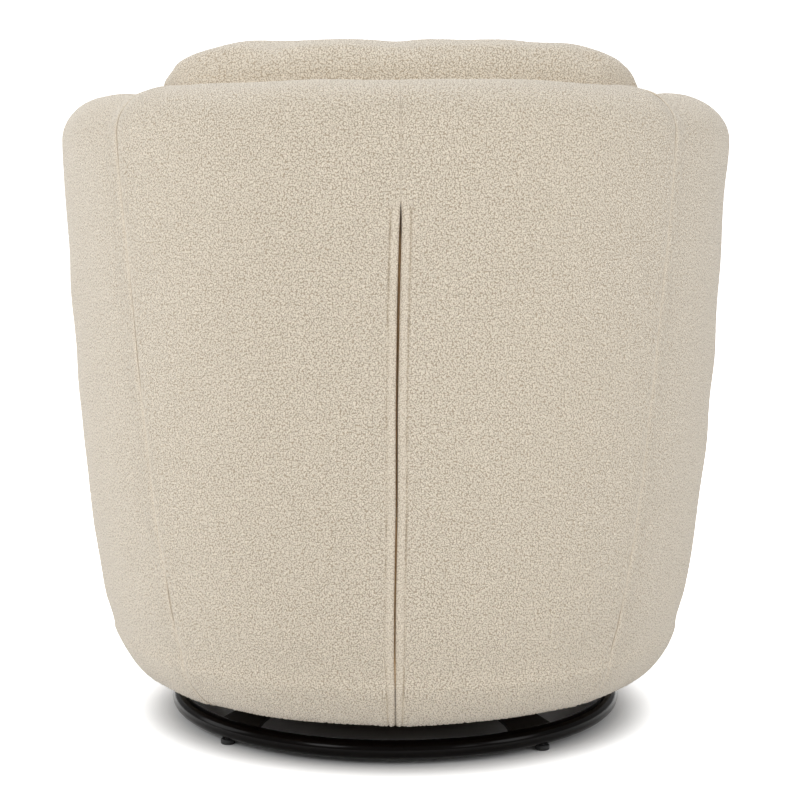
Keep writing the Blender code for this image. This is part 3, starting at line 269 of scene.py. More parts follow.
class Wiring:
    """Short calls that add nodes to a shader or geometry tree and link them."""

    def __init__(self, tree):
        self.tree = tree

    def node(self, kind, inputs=None, **settings):
        made = self.tree.nodes.new(kind)
        for name, value in settings.items():
            setattr(made, name, value)
        set_inputs(made, inputs or {})
        return made

    def shared(self, tree, inputs):
        return self.node("ShaderNodeGroup", inputs, node_tree=tree).outputs

    def math(self, operation, first, second=0.0, clamp=False):
        made = self.node("ShaderNodeMath", {0: first, 1: second}, operation=operation, use_clamp=clamp)
        return made.outputs[0]

    def plus(self, first, second):
        return self.math("ADD", first, second)

    def minus(self, first, second):
        return self.math("SUBTRACT", first, second)

    def times(self, first, second):
        return self.math("MULTIPLY", first, second)

    def vector(self, operation, first, second=(0.0, 0.0, 0.0)):
        return self.node("ShaderNodeVectorMath", {0: first, 1: second}, operation=operation).outputs[0]

    def scaled(self, vector, factor):
        return self.node("ShaderNodeVectorMath", {0: vector, "Scale": factor}, operation="SCALE").outputs[0]

    def parts(self, vector):
        return self.node("ShaderNodeSeparateXYZ", {0: vector}).outputs

    def span(self, value, low, high, out_low=0.0, out_high=1.0):
        inputs = {0: value, 1: low, 2: high, 3: out_low, 4: out_high}
        return self.node("ShaderNodeMapRange", inputs, interpolation_type="SMOOTHSTEP").outputs[0]

    def mix(self, factor, first, second, blend="MIX"):
        inputs = {0: factor, 6: first, 7: second}
        return self.node("ShaderNodeMix", inputs, data_type="RGBA", blend_type=blend).outputs[2]

    def noise(self, vector, scale, detail=2.0):
        return self.node("ShaderNodeTexNoise", {"Vector": vector, "Scale": scale, "Detail": detail}).outputs


def new_group(name, kind, inputs, outputs):
    """A node group with named sockets: its tree, its wiring, what it is given and its end."""
    tree = bpy.data.node_groups.new(name, kind)
    for label, socket, default in inputs:
        made = tree.interface.new_socket(name=label, in_out="INPUT", socket_type="NodeSocket" + socket)
        if default is not None:
            made.default_value = default
    for label, socket in outputs:
        tree.interface.new_socket(name=label, in_out="OUTPUT", socket_type="NodeSocket" + socket)
    wiring = Wiring(tree)
    given = wiring.node("NodeGroupInput").outputs
    return tree, wiring, given, wiring.node("NodeGroupOutput")


MADE = {}


def once(name, build, *values):
    """What a builder makes, kept from its first use on."""
    if name not in MADE:
        MADE[name] = build(*values)
    return MADE[name]


# Shared patterns
def nub_pattern(wiring, vector, size):
    """Height of the yarn's loops at a place on the cloth: 0 in the pits, 1 on the loops."""
    rate = wiring.math("DIVIDE", 1.0, size)
    drift = wiring.noise(vector, wiring.times(rate, 0.5), 0.0)[1]
    sway = wiring.vector("SUBTRACT", drift, (0.5, 0.5, 0.5))
    bent = wiring.vector("ADD", vector, wiring.scaled(sway, wiring.times(size, 1.2)))
    cells = wiring.node("ShaderNodeTexVoronoi", {"Vector": bent, "Scale": rate, "Randomness": 0.8},
                        feature="F1", voronoi_dimensions="2D").outputs
    return wiring.span(cells["Distance"], 0.05, 0.75, 1.0, 0.0), cells["Color"], bent, rate


def nubby_yarn_group():
    """Colour and height of a cloth of small yarn loops, with painted shade in the pits between the loops."""
    inputs = [("Vector", "Vector", None), ("Nub Size", "Float", 0.0019), ("Light", "Color", None),
              ("Deep", "Color", None), ("Colour Variation", "Float", 0.08), ("Seam", "Float", 0.0),
              ("Loft", "Float", 1.0)]
    tree, wiring, given, end = new_group("Nubby Yarn", "ShaderNodeTree", inputs,
                                         [("Color", "Color"), ("Height", "Float")])
    height, cell, bent, rate = nub_pattern(wiring, given["Vector"], given["Nub Size"])
    fibre = wiring.noise(bent, wiring.times(rate, 1.5), 1.0)[0]
    patch = wiring.noise(given["Vector"], 30.0, 1.0)[0]
    cell_value = wiring.node("ShaderNodeSeparateColor", {0: cell}).outputs[0]
    full = wiring.plus(height, wiring.times(wiring.minus(fibre, 0.5), 0.6))
    seam_and_painted_crease_shade = wiring.times(given["Seam"], 0.55)
    pressed = wiring.minus(wiring.span(full, 0.0, 0.7), 0.72)
    raised = wiring.plus(wiring.times(pressed, given["Loft"]), 0.72)
    # Painted shade: the deep colour fills the pits between the loops; the seam shade darkens the seams and,
    # as painted shade, the lips' folds and creases
    tone = wiring.mix(wiring.math("SUBTRACT", raised, seam_and_painted_crease_shade, clamp=True), given["Deep"], given["Light"])
    swing = wiring.minus(wiring.plus(cell_value, wiring.times(patch, 0.3)), 0.65)
    change = wiring.plus(wiring.times(swing, given["Colour Variation"]), 1.0)
    shade = wiring.node("ShaderNodeCombineColor", {0: change, 1: change, 2: change}).outputs[0]
    set_inputs(end, {"Color": wiring.mix(1.0, tone, shade, "MULTIPLY"),
                     "Height": wiring.times(full, given["Loft"])})
    return tree


def woven_group():
    """Height and shade of a plain weave in the plane of two axes."""
    inputs = [("Across", "Float", None), ("Along", "Float", None), ("Thread", "Float", 0.001)]
    tree, wiring, given, end = new_group("Plain Weave", "ShaderNodeTree", inputs,
                                         [("Height", "Float"), ("Over", "Float")])
    shares = [wiring.math("DIVIDE", given[label], given["Thread"]) for label in ("Across", "Along")]
    across, along = [wiring.math("ABSOLUTE", wiring.math("SINE", wiring.times(share, math.pi)))
                     for share in shares]
    steps = [wiring.math("FLOOR", share) for share in shares]
    over = wiring.math("PINGPONG", wiring.plus(*steps), 1.0)
    under = wiring.minus(1.0, over)
    height = wiring.plus(wiring.times(across, over), wiring.times(along, under))
    set_inputs(end, {"Height": height, "Over": over})
    return tree


def handled_group():
    """Faint unevenness, dust and rubbed spots of a hard finish."""
    inputs = [("Vector", "Vector", None), ("Scale", "Float", 60.0), ("Roughness", "Float", 0.4),
              ("Unevenness", "Float", 0.1), ("Color", "Color", None), ("Dust", "Color", None),
              ("Dust Amount", "Float", 0.1)]
    tree, wiring, given, end = new_group("Handled Surface", "ShaderNodeTree", inputs,
                                         [("Color", "Color"), ("Roughness", "Float"), ("Height", "Float")])
    broad = wiring.noise(given["Vector"], given["Scale"], 3.0)[0]
    fine = wiring.noise(given["Vector"], wiring.times(given["Scale"], 14.0), 2.0)[0]
    speck = wiring.times(wiring.span(broad, 0.45, 0.75), wiring.span(fine, 0.5, 0.7))
    factor = wiring.times(speck, given["Dust Amount"])
    swing = wiring.times(wiring.minus(broad, 0.5), given["Unevenness"])
    rough = wiring.plus(given["Roughness"], wiring.plus(swing, wiring.times(factor, 0.3)))
    set_inputs(end, {"Color": wiring.mix(factor, given["Color"], given["Dust"]), "Roughness": rough,
                     "Height": wiring.plus(wiring.times(broad, 0.3), wiring.times(fine, 0.7))})
    return tree


def woven(wiring, across, along, thread):
    """Height of a plain weave whose threads follow two values."""
    return wiring.shared(once("weave", woven_group), {"Across": across, "Along": along, "Thread": thread})[0]


def new_material(name):
    """A material with a Principled shader, its wiring and the piece's own coordinates."""
    material = bpy.data.materials.new(name)
    material.use_nodes = True
    wiring = Wiring(material.node_tree)
    shader = material.node_tree.nodes["Principled BSDF"]
    place = wiring.node("ShaderNodeTexCoord").outputs["Object"]
    return material, wiring, shader, place


def add_bump(wiring, shader, height, depth, strength=1.0):
    bump = wiring.node("ShaderNodeBump", {"Strength": strength, "Distance": depth, "Height": height})
    set_inputs(shader, {"Normal": bump.outputs[0]})


def nubby_fabric():
    """Cream cloth of small yarn loops with a soft halo of fibre."""
    settings = bpy.context.scene.armchair_fabric
    material, wiring, shader, _ = new_material("nubby fabric")
    cloth, seam, loft = [wiring.node("ShaderNodeAttribute", attribute_name=name).outputs
                         for name in ("cloth_place", "seam_shade", "nub_share")]
    yarn = wiring.shared(once("yarn", nubby_yarn_group), {
        "Vector": cloth["Vector"], "Nub Size": settings.nub_size, "Colour Variation": 0.08,
        "Light": (*settings.light, 1.0), "Deep": (*settings.deep, 1.0), "Seam": seam["Fac"],
        "Loft": wiring.math("MINIMUM", loft["Fac"], 1.0)})
    set_inputs(shader, {"Base Color": yarn["Color"], "Roughness": 0.95, "Specular IOR Level": 0.12,
                        "Sheen Weight": settings.halo, "Sheen Roughness": 0.45,
                        "Sheen Tint": (1.0, 1.0, 0.98, 1.0)})
    add_bump(wiring, shader, yarn["Height"], settings.nub_height, 0.85)
    return material


def woven_cloth(name, light, deep, thread):
    """Plain woven cloth whose threads follow the piece's X and Y."""
    material, wiring, shader, place = new_material(name)
    parts = wiring.parts(place)
    height = woven(wiring, parts[0], parts[1], thread)
    slub = wiring.noise(place, 0.25 / thread, 2.0)[0]
    tone = wiring.plus(wiring.times(height, 0.7), wiring.times(slub, 0.4))
    colour = wiring.mix(wiring.span(tone, 0.15, 0.9), (*deep, 1), (*light, 1))
    set_inputs(shader, {"Base Color": colour, "Roughness": 0.9})
    add_bump(wiring, shader, height, thread * 0.4)
    return material


def zip_tape_material():
    """Tan herringbone tape, with painted shade that darkens it towards its top end under the closed seam."""
    material, wiring, shader, place = new_material("zip tape")
    parts = wiring.parts(place)
    height = woven(wiring, parts[0], wiring.plus(parts[2], wiring.math("ABSOLUTE", parts[0])), 0.0008)
    tone = wiring.mix(height, (0.66, 0.42, 0.20, 1), (0.92, 0.64, 0.35, 1))
    # Painted shade: the tape turns dark towards its top end, deep in the narrow slit
    end = wiring.span(parts[2], SLIT_TOP - 0.062, SLIT_TOP - 0.022)
    set_inputs(shader, {"Base Color": wiring.mix(end, tone, (0.16, 0.12, 0.08, 1)), "Roughness": 0.8})
    add_bump(wiring, shader, height, 0.0003)
    return material


def foam_material():
    """Open cells of yellowed foam."""
    material, wiring, shader, place = new_material("upholstery foam")
    cells = wiring.node("ShaderNodeTexVoronoi", {"Vector": place, "Scale": 700.0}).outputs["Distance"]
    colour = wiring.mix(wiring.span(cells, 0.1, 0.7), (0.62, 0.55, 0.34, 1), (0.84, 0.79, 0.58, 1))
    set_inputs(shader, {"Base Color": colour, "Roughness": 0.95})
    add_bump(wiring, shader, cells, 0.0006)
    return material


def plywood_material():
    """Raw plywood: long grain on the faces and thin plies on the edges."""
    material, wiring, shader, place = new_material("raw plywood")
    stretch = wiring.node("ShaderNodeMapping", {"Vector": place, "Scale": (6.0, 90.0, 90.0)}).outputs[0]
    grain = wiring.noise(stretch, 3.0, 6.0)[0]
    face = wiring.mix(wiring.span(grain, 0.3, 0.7), (0.42, 0.25, 0.12, 1), (0.66, 0.46, 0.26, 1))
    ply = wiring.math("PINGPONG", wiring.math("DIVIDE", wiring.parts(place)[2], 0.0015), 1.0)
    edge = wiring.mix(wiring.span(ply, 0.35, 0.65), (0.30, 0.16, 0.08, 1), (0.62, 0.44, 0.27, 1))
    facing = wiring.node("ShaderNodeNewGeometry").outputs["Normal"]
    upright = wiring.math("ABSOLUTE", wiring.parts(facing)[2])
    set_inputs(shader, {"Base Color": wiring.mix(wiring.span(upright, 0.4, 0.6), edge, face),
                        "Roughness": wiring.span(grain, 0.2, 0.8, 0.52, 0.75)})
    add_bump(wiring, shader, grain, 0.0004)
    return material


def handled_material(name, colour, roughness, metallic, dust, amount, scale=60.0, unevenness=0.12,
                     depth=0.00006, specular=0.5):
    """A hard finish: paint, plating or plastic, with its own unevenness and dust."""
    material, wiring, shader, place = new_material(name)
    worn = wiring.shared(once("handled", handled_group), {
        "Vector": place, "Scale": scale, "Roughness": roughness, "Unevenness": unevenness,
        "Color": (*colour, 1), "Dust": (*dust, 1), "Dust Amount": amount})
    set_inputs(shader, {"Base Color": worn["Color"], "Roughness": worn["Roughness"], "Metallic": metallic,
                        "Specular IOR Level": specular})
    add_bump(wiring, shader, worn["Height"], depth)
    return material


# Finishes by their plain names; the values follow the arguments of the builders
FINISHES = {
    "fabric": (nubby_fabric,),
    "deck": (woven_cloth, "deck cloth", (0.55, 0.50, 0.42), (0.36, 0.32, 0.27), 0.0011),
    "dust cloth": (woven_cloth, "dust cloth", (0.035, 0.035, 0.036), (0.012, 0.012, 0.012), 0.0016),
    "zip tape": (zip_tape_material,),
    "foam": (foam_material,),
    "plywood": (plywood_material,),
    "coil": (handled_material, "zip coil", (0.74, 0.48, 0.25), 0.5, 0.0, (0.8, 0.6, 0.4), 0.2, 400.0),
    "thread": (handled_material, "sewing thread", (0.52, 0.43, 0.31), 0.7, 0.0, (0.65, 0.58, 0.46), 0.5,
               900.0),
    "paint": (handled_material, "black satin paint", (0.0022, 0.0013, 0.0010), 0.18, 0.0,
              (0.02, 0.016, 0.013), 0.08, 45.0, 0.06, 0.00001, 0.08),
    # The arms have the ring's black paint; their lighter colour is painted light, for the light that falls on
    # their sloping tops
    "arm paint painted lighter": (handled_material, "black paint on flat steel", (0.026, 0.021, 0.017), 0.46, 0.0,
                  (0.07, 0.06, 0.05), 0.2, 60.0, 0.12, 0.00008, 0.35),
    "bronze": (handled_material, "dark bronze", (0.11, 0.085, 0.055), 0.4, 1.0, (0.05, 0.04, 0.03), 0.4,
               300.0, 0.2),
    "zinc": (handled_material, "zinc plate", (0.56, 0.56, 0.54), 0.34, 1.0, (0.30, 0.29, 0.27), 0.25,
             120.0, 0.25),
    "plastic": (handled_material, "black plastic", (0.014, 0.014, 0.014), 0.5, 0.0, (0.08, 0.08, 0.08),
                0.15, 200.0),
}


def finish(name):
    """A material by its plain name, built when it is first asked for."""
    return once(name, *FINISHES[name])


# Meshes
def add_object(name, data):
    item = bpy.data.objects.new(name, data)
    bpy.context.scene.collection.objects.link(item)
    return item


def make_object(name, mesh, material):
    mesh.materials.clear()
    mesh.materials.append(material)
    return add_object(name, mesh)


def merge_points(mesh):
    """Merge a mesh's points that lie together and turn its faces outwards."""
    shape = bmesh.new()
    shape.from_mesh(mesh)
    bmesh.ops.remove_doubles(shape, verts=shape.verts, dist=MERGE)
    bmesh.ops.dissolve_degenerate(shape, edges=shape.edges, dist=1e-7)
    bmesh.ops.recalc_face_normals(shape, faces=shape.faces)
    shape.to_mesh(mesh)
    shape.free()


def mesh_from(name, points, faces):
    """A smooth mesh from points and faces, with points that lie together merged."""
    mesh = bpy.data.meshes.new(name)
    mesh.from_pydata(np.asarray(points).tolist(), [], [list(map(int, face)) for face in faces])
    merge_points(mesh)
    mesh.shade_smooth()
    return mesh


def solid_copy(node, name, flat, sharp, bevel, segments, triangles=False):
    """A copy of a solid's mesh, with merged points, whole flat faces and rounded edges."""
    mesh = frame["nodes"][node].data.copy()
    mesh.name = name
    shape = bmesh.new()
    shape.from_mesh(mesh)
    bmesh.ops.remove_doubles(shape, verts=shape.verts, dist=1e-5)
    bmesh.ops.dissolve_limit(shape, angle_limit=math.radians(flat), verts=shape.verts, edges=shape.edges)
    if bevel:
        edges = [edge for edge in shape.edges if edge.is_manifold and edge.calc_face_angle() > sharp]
        bmesh.ops.bevel(shape, geom=edges, offset=bevel, segments=segments, profile=0.5, affect="EDGES",
                        clamp_overlap=True)
    bmesh.ops.recalc_face_normals(shape, faces=shape.faces)
    if triangles:
        bmesh.ops.triangulate(shape, faces=[face for face in shape.faces if len(face.verts) > 4])
    shape.to_mesh(mesh)
    shape.free()
    return mesh


def read(items, field, width, kind=np.float32):
    """A field of all items of a mesh, as an array."""
    found = np.empty(len(items) * width, kind)
    items.foreach_get(field, found)
    return found.reshape(-1, width)


def coordinates(mesh):
    return read(mesh.vertices, "co", 3, float)


def vertex_normals(mesh):
    return read(mesh.vertex_normals, "vector", 3)


def move_points(mesh, points):
    mesh.vertices.foreach_set("co", np.asarray(points, np.float32).ravel())
    mesh.update()


def add_values(mesh, name, values, domain="POINT"):
    """Store a number or a vector for each point or corner of a mesh."""
    values = np.asarray(values, np.float32)
    kind, field = ("FLOAT", "value") if values.ndim == 1 else ("FLOAT_VECTOR", "vector")
    made = mesh.attributes.get(name) or mesh.attributes.new(name, kind, domain)
    made.data.foreach_set(field, values.ravel())


def lay_cloth(mesh):
    """Store places on the cloth of a boxed piece: for each face, the coordinates in its side's plane."""
    sides = np.abs(read(mesh.polygon_normals, "vector", 3)).argmax(axis=1)
    counts = read(mesh.polygons, "loop_total", 1, np.int32)[:, 0]
    corners = read(mesh.loops, "vertex_index", 1, np.int32)[:, 0]
    order = np.array(((1, 2, 0), (0, 2, 1), (0, 1, 2)))[np.repeat(sides, counts)]
    places = np.take_along_axis(coordinates(mesh)[corners], order, axis=1)
    add_values(mesh, "cloth_place", places, "CORNER")


def evaluated_mesh(item):
    """The item's mesh with its modifiers applied, as a new plain mesh."""
    bpy.context.view_layer.update()
    graph = bpy.context.evaluated_depsgraph_get()
    return bpy.data.meshes.new_from_object(item.evaluated_get(graph), preserve_all_data_layers=True,
                                           depsgraph=graph)


def bake_modifiers(item):
    """Turn the item's modifiers into its plain mesh."""
    mesh = evaluated_mesh(item)
    item.modifiers.clear()
    old = item.data
    item.data = mesh
    bpy.data.meshes.remove(old)


def bump_field(points, scale, seed):
    """Smooth random heights from -1 to 1, as a sum of waves in many directions."""
    random = np.random.default_rng(seed)
    total = np.zeros(len(points))
    count = 14
    for _ in range(count):
        direction = random.normal(size=3)
        direction *= random.uniform(0.6, 1.5) * 2 * math.pi / scale / np.linalg.norm(direction)
        total += np.sin(points @ direction + random.uniform(0, 2 * math.pi))
    return total / math.sqrt(count)


# Nubby surface as geometry
def nubby_surface_tree():
    """Raises the yarn's loops along the surface, where the nub share is above zero."""
    inputs = [("Geometry", "Geometry", None), ("Nub Size", "Float", 0.0038),
              ("Nub Height", "Float", 0.001), ("Material", "Material", None)]
    tree, wiring, given, end = new_group("Nubby Surface", "GeometryNodeTree", inputs,
                                         [("Geometry", "Geometry")])
    place = wiring.node("GeometryNodeInputNamedAttribute", {"Name": "cloth_place"},
                        data_type="FLOAT_VECTOR").outputs[0]
    facing = wiring.node("GeometryNodeInputNormal").outputs[0]
    share = wiring.node("GeometryNodeInputNamedAttribute", {"Name": "nub_share"},
                        data_type="FLOAT").outputs[0]
    height = nub_pattern(wiring, place, given["Nub Size"])[0]
    lift = wiring.times(wiring.minus(height, 0.6), given["Nub Height"])
    offset = wiring.scaled(facing, wiring.times(lift, share))
    raised = wiring.node("GeometryNodeSetPosition", {"Geometry": given["Geometry"], "Offset": offset})
    plain = wiring.node("GeometryNodeRealizeInstances", {0: raised.outputs[0]})
    dressed = wiring.node("GeometryNodeSetMaterial", {0: plain.outputs[0], "Material": given["Material"]})
    set_inputs(end, {"Geometry": dressed.outputs[0]})
    return tree


def run_tree(item, tree, values):
    """Run a Geometry Nodes tree on an item, with its inputs by their names."""
    modifier = item.modifiers.new(tree.name, "NODES")
    modifier.node_group = tree
    for socket in tree.interface.items_tree:
        if socket.item_type == "SOCKET" and socket.in_out == "INPUT" and socket.name in values:
            modifier[socket.identifier] = values[socket.name]
    bake_modifiers(item)
    item.data.shade_smooth()


def raise_nubs(item, share=1.0):
    """Give a piece of fabric its loops, as geometry."""
    settings = bpy.context.scene.armchair_fabric
    if "nub_share" not in item.data.attributes:
        add_values(item.data, "nub_share", np.full(len(item.data.vertices), share))
    if "cloth_place" not in item.data.attributes:
        lay_cloth(item.data)
    run_tree(item, once("nubs", nubby_surface_tree), {
        "Nub Size": settings.tuft_size, "Nub Height": settings.tuft_height, "Material": finish("fabric")})


# Shell surface
def smooth_table(x, xs, ys):
    """A curve through a table that never overshoots it."""
    step = np.diff(xs)
    slope = np.diff(ys) / step
    ends = np.zeros(len(xs))
    for index in range(1, len(xs) - 1):
        before, after = slope[index - 1], slope[index]
        if before * after > 0:
            one = 2 * step[index] + step[index - 1]
            two = step[index] + 2 * step[index - 1]
            ends[index] = (one + two) / (one / before + two / after)
    ends[0], ends[-1] = slope[0], slope[-1]
    x = np.clip(x, xs[0], xs[-1])
    place = np.clip(np.searchsorted(xs, x) - 1, 0, len(xs) - 2)
    width = step[place]
    t = (x - xs[place]) / width
    return ((1 + 2 * t) * (1 - t) ** 2 * ys[place] + t * (1 - t) ** 2 * width * ends[place]
            + t * t * (3 - 2 * t) * ys[place + 1] + t * t * (t - 1) * width * ends[place + 1])


def outer_radius(crest, level):
    share = (level - SHELL_BOTTOM) / (crest - SHELL_BOTTOM)
    return SHELL_RADIUS * smooth_table(share, SIDE_HEIGHT_SHARES, SIDE_RADIUS_SHARES)


def rear_crest(angle):
    return BACK_HEIGHT - SIDE_FALL * (1 - np.cos(angle))


def arm_crest(share):
    return BACK_HEIGHT - SIDE_FALL - SIDE_FALL * share - ARM_FALL * share * share


def profile(crest, row):
    """Radius and height of the cover at a row, for a given crest height."""
    rim = crest - RIM_RISE
    half = (SHELL_RADIUS - INNER_FACE) / 2
    level = DECK_LEVEL + np.clip(row, 0, 1) * (rim - DECK_LEVEL)
    radius = np.full(level.shape, INNER_FACE)
    turn = math.pi * (1 - np.clip(row - RIM, 0, 1))
    on_rim = row > RIM
    radius = np.where(on_rim, WALL_CENTRE + half * np.cos(turn), radius)
    level = np.where(on_rim, rim + RIM_RISE * np.sin(turn), level)
    outside = row > OUTSIDE
    down = rim + np.clip(row - OUTSIDE, 0, 1) * (ROLL_LEVEL - rim)
    radius = np.where(outside, outer_radius(crest, down), radius)
    level = np.where(outside, down, level)
    roll = row > ROLL
    turn = QUARTER_TURN * np.clip(row - ROLL, 0, 1)
    radius = np.where(roll, ROLL_CENTRE + ROLL_RADIUS * np.cos(turn), radius)
    level = np.where(roll, ROLL_LEVEL - ROLL_HEIGHT * np.sin(turn), level)
    hem = np.clip(row - HEM, 0, 1)
    radius = np.where(row > HEM, ROLL_CENTRE + hem * (HEM_RADIUS - ROLL_CENTRE), radius)
    return radius, level


def tuck(row):
    """How far the roll under the back is drawn in, as the stuffing there gives way."""
    return TUCK * np.sin(np.clip(row - ROLL, 0, 0.5) * math.pi) * (1 - np.clip(row - HEM, 0, 1))


def seam_angle(row):
    """Plan angle of the side seam, which leans back towards the hem."""
    _, level = profile(np.full(row.shape, rear_crest(SEAM_HIGH)), row)
    share = (level - SHELL_BOTTOM) / (BACK_HEIGHT - SHELL_BOTTOM)
    return SEAM_LOW + (SEAM_HIGH - SEAM_LOW) * np.minimum(share, 1)


def wall_centre(row, radius, level, crest):
    """Radius of the middle of the wall, about which the arm front turns."""
    deck_outer = outer_radius(crest, np.full(level.shape, DECK_LEVEL))
    below = radius - (deck_outer - INNER_FACE) / 2
    upright = (INNER_FACE + outer_radius(crest, level)) / 2
    centre = np.where((row >= RIM) & (row <= OUTSIDE), WALL_CENTRE, upright)
    return np.where((row > OUTSIDE) & (level < DECK_LEVEL), below, centre)


def centre_edge(side, row, level):
    """Distance of a back panel's centre edge from the middle, which wanders a little."""
    lean = np.interp(level, LEAN_LEVELS, SLIT_LEANS)
    lean = np.where(row >= OUTSIDE, lean, SLIT_LEANS[-1] * np.clip(row, 0, OUTSIDE) / OUTSIDE)
    slit = np.interp(level, SLIT_LEVELS, SLIT_HALVES)
    return np.where((row > OUTSIDE) & (level < SLIT_TOP), slit, SEAM_HALF) + side * lean


def shell(side, place, row):
    """Points of the shell: place 0 rear centre, 1 side seam, 2 side, 3 arm front, 4 front seam."""
    place, row = np.broadcast_arrays(np.asarray(place, float), np.asarray(row, float))
    seam = seam_angle(row)
    _, first_level = profile(np.full(row.shape, BACK_HEIGHT), row)
    start = centre_edge(side, row, first_level) / SHELL_RADIUS
    rear = start + np.minimum(place, 1) * (seam - start)
    angle = rear + np.clip(place - SIDE_SEAM, 0, 1) * (QUARTER_TURN - seam)
    crest = np.where(place <= SIDE, rear_crest(angle), arm_crest(np.clip(place - SIDE, 0, 1)))
    radius, level = profile(crest, row)
    radius = radius - tuck(row) * (1 - np.clip((place - SIDE) * 2, 0, 1))
    centre = wall_centre(row, radius, level, crest)
    x = radius * np.sin(angle)
    y = radius * np.cos(angle)
    straight = place > SIDE
    x = np.where(straight, radius, x)
    y = np.where(straight, -(place - SIDE) * centre, y)
    nose = place > ARM_FRONT
    turn = QUARTER_TURN * np.clip(place - ARM_FRONT, 0, 1)
    offset = radius - centre
    x = np.where(nose, centre + offset * np.cos(turn), x)
    y = np.where(nose, -(centre + np.abs(offset) * np.sin(turn)), y)
    return np.stack((side * x, y, level), axis=-1), angle


def row_values(counts):
    """Rows from the deck inside to the hem, with a count for each stretch."""
    values = [np.zeros(1)]
    for stretch, count in enumerate(counts):
        values.append(stretch + np.arange(1, count + 1) / count)
    return np.concatenate(values)


def sheet_faces(columns, rows, start=0, round_columns=False, round_rows=False):
    """Quads of a grid of points, which closes on itself in the directions that are round."""
    index = np.arange(columns * rows).reshape(columns, rows) + start
    if round_columns:
        index = np.concatenate((index, index[:1]))
    if round_rows:
        index = np.concatenate((index, index[:, :1]), axis=1)
    quads = np.stack((index[:-1, :-1], index[:-1, 1:], index[1:, 1:], index[1:, :-1]), axis=-1)
    return quads.reshape(-1, 4)


def sheet_normals(sheet):
    """Outward unit normals of a grid of points."""
    normal = np.cross(np.gradient(sheet, axis=0), np.gradient(sheet, axis=1))
    normal /= np.maximum(np.linalg.norm(normal, axis=-1, keepdims=True), 1e-12)
    middle = (sheet.shape[0] // 2, sheet.shape[1] * 2 // 3)
    return -normal if normal[middle] @ sheet[middle] < 0 else normal


def close_cover(outside, lining):
    """Close a fine sheet with a coarser lining and a wall along its open edges."""
    columns, rows = outside.shape[:2]
    coarse = (columns - 1) // (lining.shape[0] - 1)
    wide, tall = lining.shape[:2]
    start = columns * rows
    faces = sheet_faces(columns, rows).tolist()
    faces.extend(face[::-1] for face in sheet_faces(wide, tall, start).tolist())
    edges = []
    for fixed in (0, columns - 1):
        fine = [fixed * rows + step for step in range(rows)]
        rough = [start + fixed // coarse * tall + step for step in range(tall)]
        edges.append((fine, rough))
    for fixed in (0, rows - 1):
        fine = [step * rows + fixed for step in range(columns)]
        rough = [start + step * tall + fixed // coarse for step in range(wide)]
        edges.append((fine, rough))
    for fine, rough in edges:
        for step in range(len(rough) - 1):
            stretch = fine[step * coarse:(step + 1) * coarse + 1]
            faces.append(stretch + [rough[step + 1], rough[step]])
    points = np.concatenate((outside.reshape(-1, 3), lining.reshape(-1, 3)))
    return points, faces


def gauss(distance, width):
    return np.exp(-(distance / width) ** 2)


def cloth_places(sheet, offset):
    """Distance across and down a sheet at each of its points, in metres."""
    places = np.zeros_like(sheet)
    for axis in (0, 1):
        step = np.linalg.norm(np.diff(sheet, axis=axis), axis=-1)
        total = np.cumsum(step, axis=axis)
        if axis == 0:
            places[1:, :, 0] = total
        else:
            places[:, 1:, 1] = total
    places[..., 2] = offset
    return places


def dress(base, relief, seam, soft, pole=None):
    """A cover's outside and lining, and for each outside point its seam shade and share of nubs."""
    normal = sheet_normals(base)
    outside = base + normal * relief[..., None]
    if pole is not None:
        outside[pole] = base[pole]
    sunk = np.minimum(relief + FREE_HOLLOW, 0)[..., None] - (COVER - GAP)
    lining = (base + normal * sunk)[::COARSE, ::COARSE]
    bottom = gauss(base[..., 2] - SHELL_BOTTOM, BOTTOM_LOOPS_HEIGHT)
    share = np.clip(1 - soft, 0, 1) + BOTTOM_LOOPS * bottom
    share[0], share[-1], share[:, 0], share[:, -1] = [EDGE_LOOPS] * 4
    return outside, lining, np.clip(seam, 0, 1), share


def seam_relief(distance, depth, swell):
    """A sewn seam: both cloths turn down into it and swell a little beside it."""
    return -depth * gauss(distance, SEAM_WIDTH) + swell * gauss(distance - SWELL_AWAY, SWELL_WIDTH)


def rim_band(level):
    """How near a level is to the rim beside the side seams."""
    return gauss(level - BACK_HEIGHT + SIDE_FALL / 2, RIM_BAND)


def pucker(points, seed):
    """Small gathers along an upright seam."""
    flat = points.reshape(-1, 3) * (0.6, 0.6, 1.0)
    return bump_field(flat, GATHER_SIZE, seed).reshape(points.shape[:-1])


def waves(points, seed):
    """Slow unevenness of stuffed cloth."""
    return bump_field(points.reshape(-1, 3), WAVE_SIZE, seed).reshape(points.shape[:-1])


def graded(spans):
    """Values from 0 to 1 whose steps follow a list of (share, count) spans."""
    values = [np.zeros(1)]
    start = 0.0
    for share, count in spans:
        values.append(start + share * np.arange(1, count + 1) / count)
        start += share
    return np.concatenate(values)


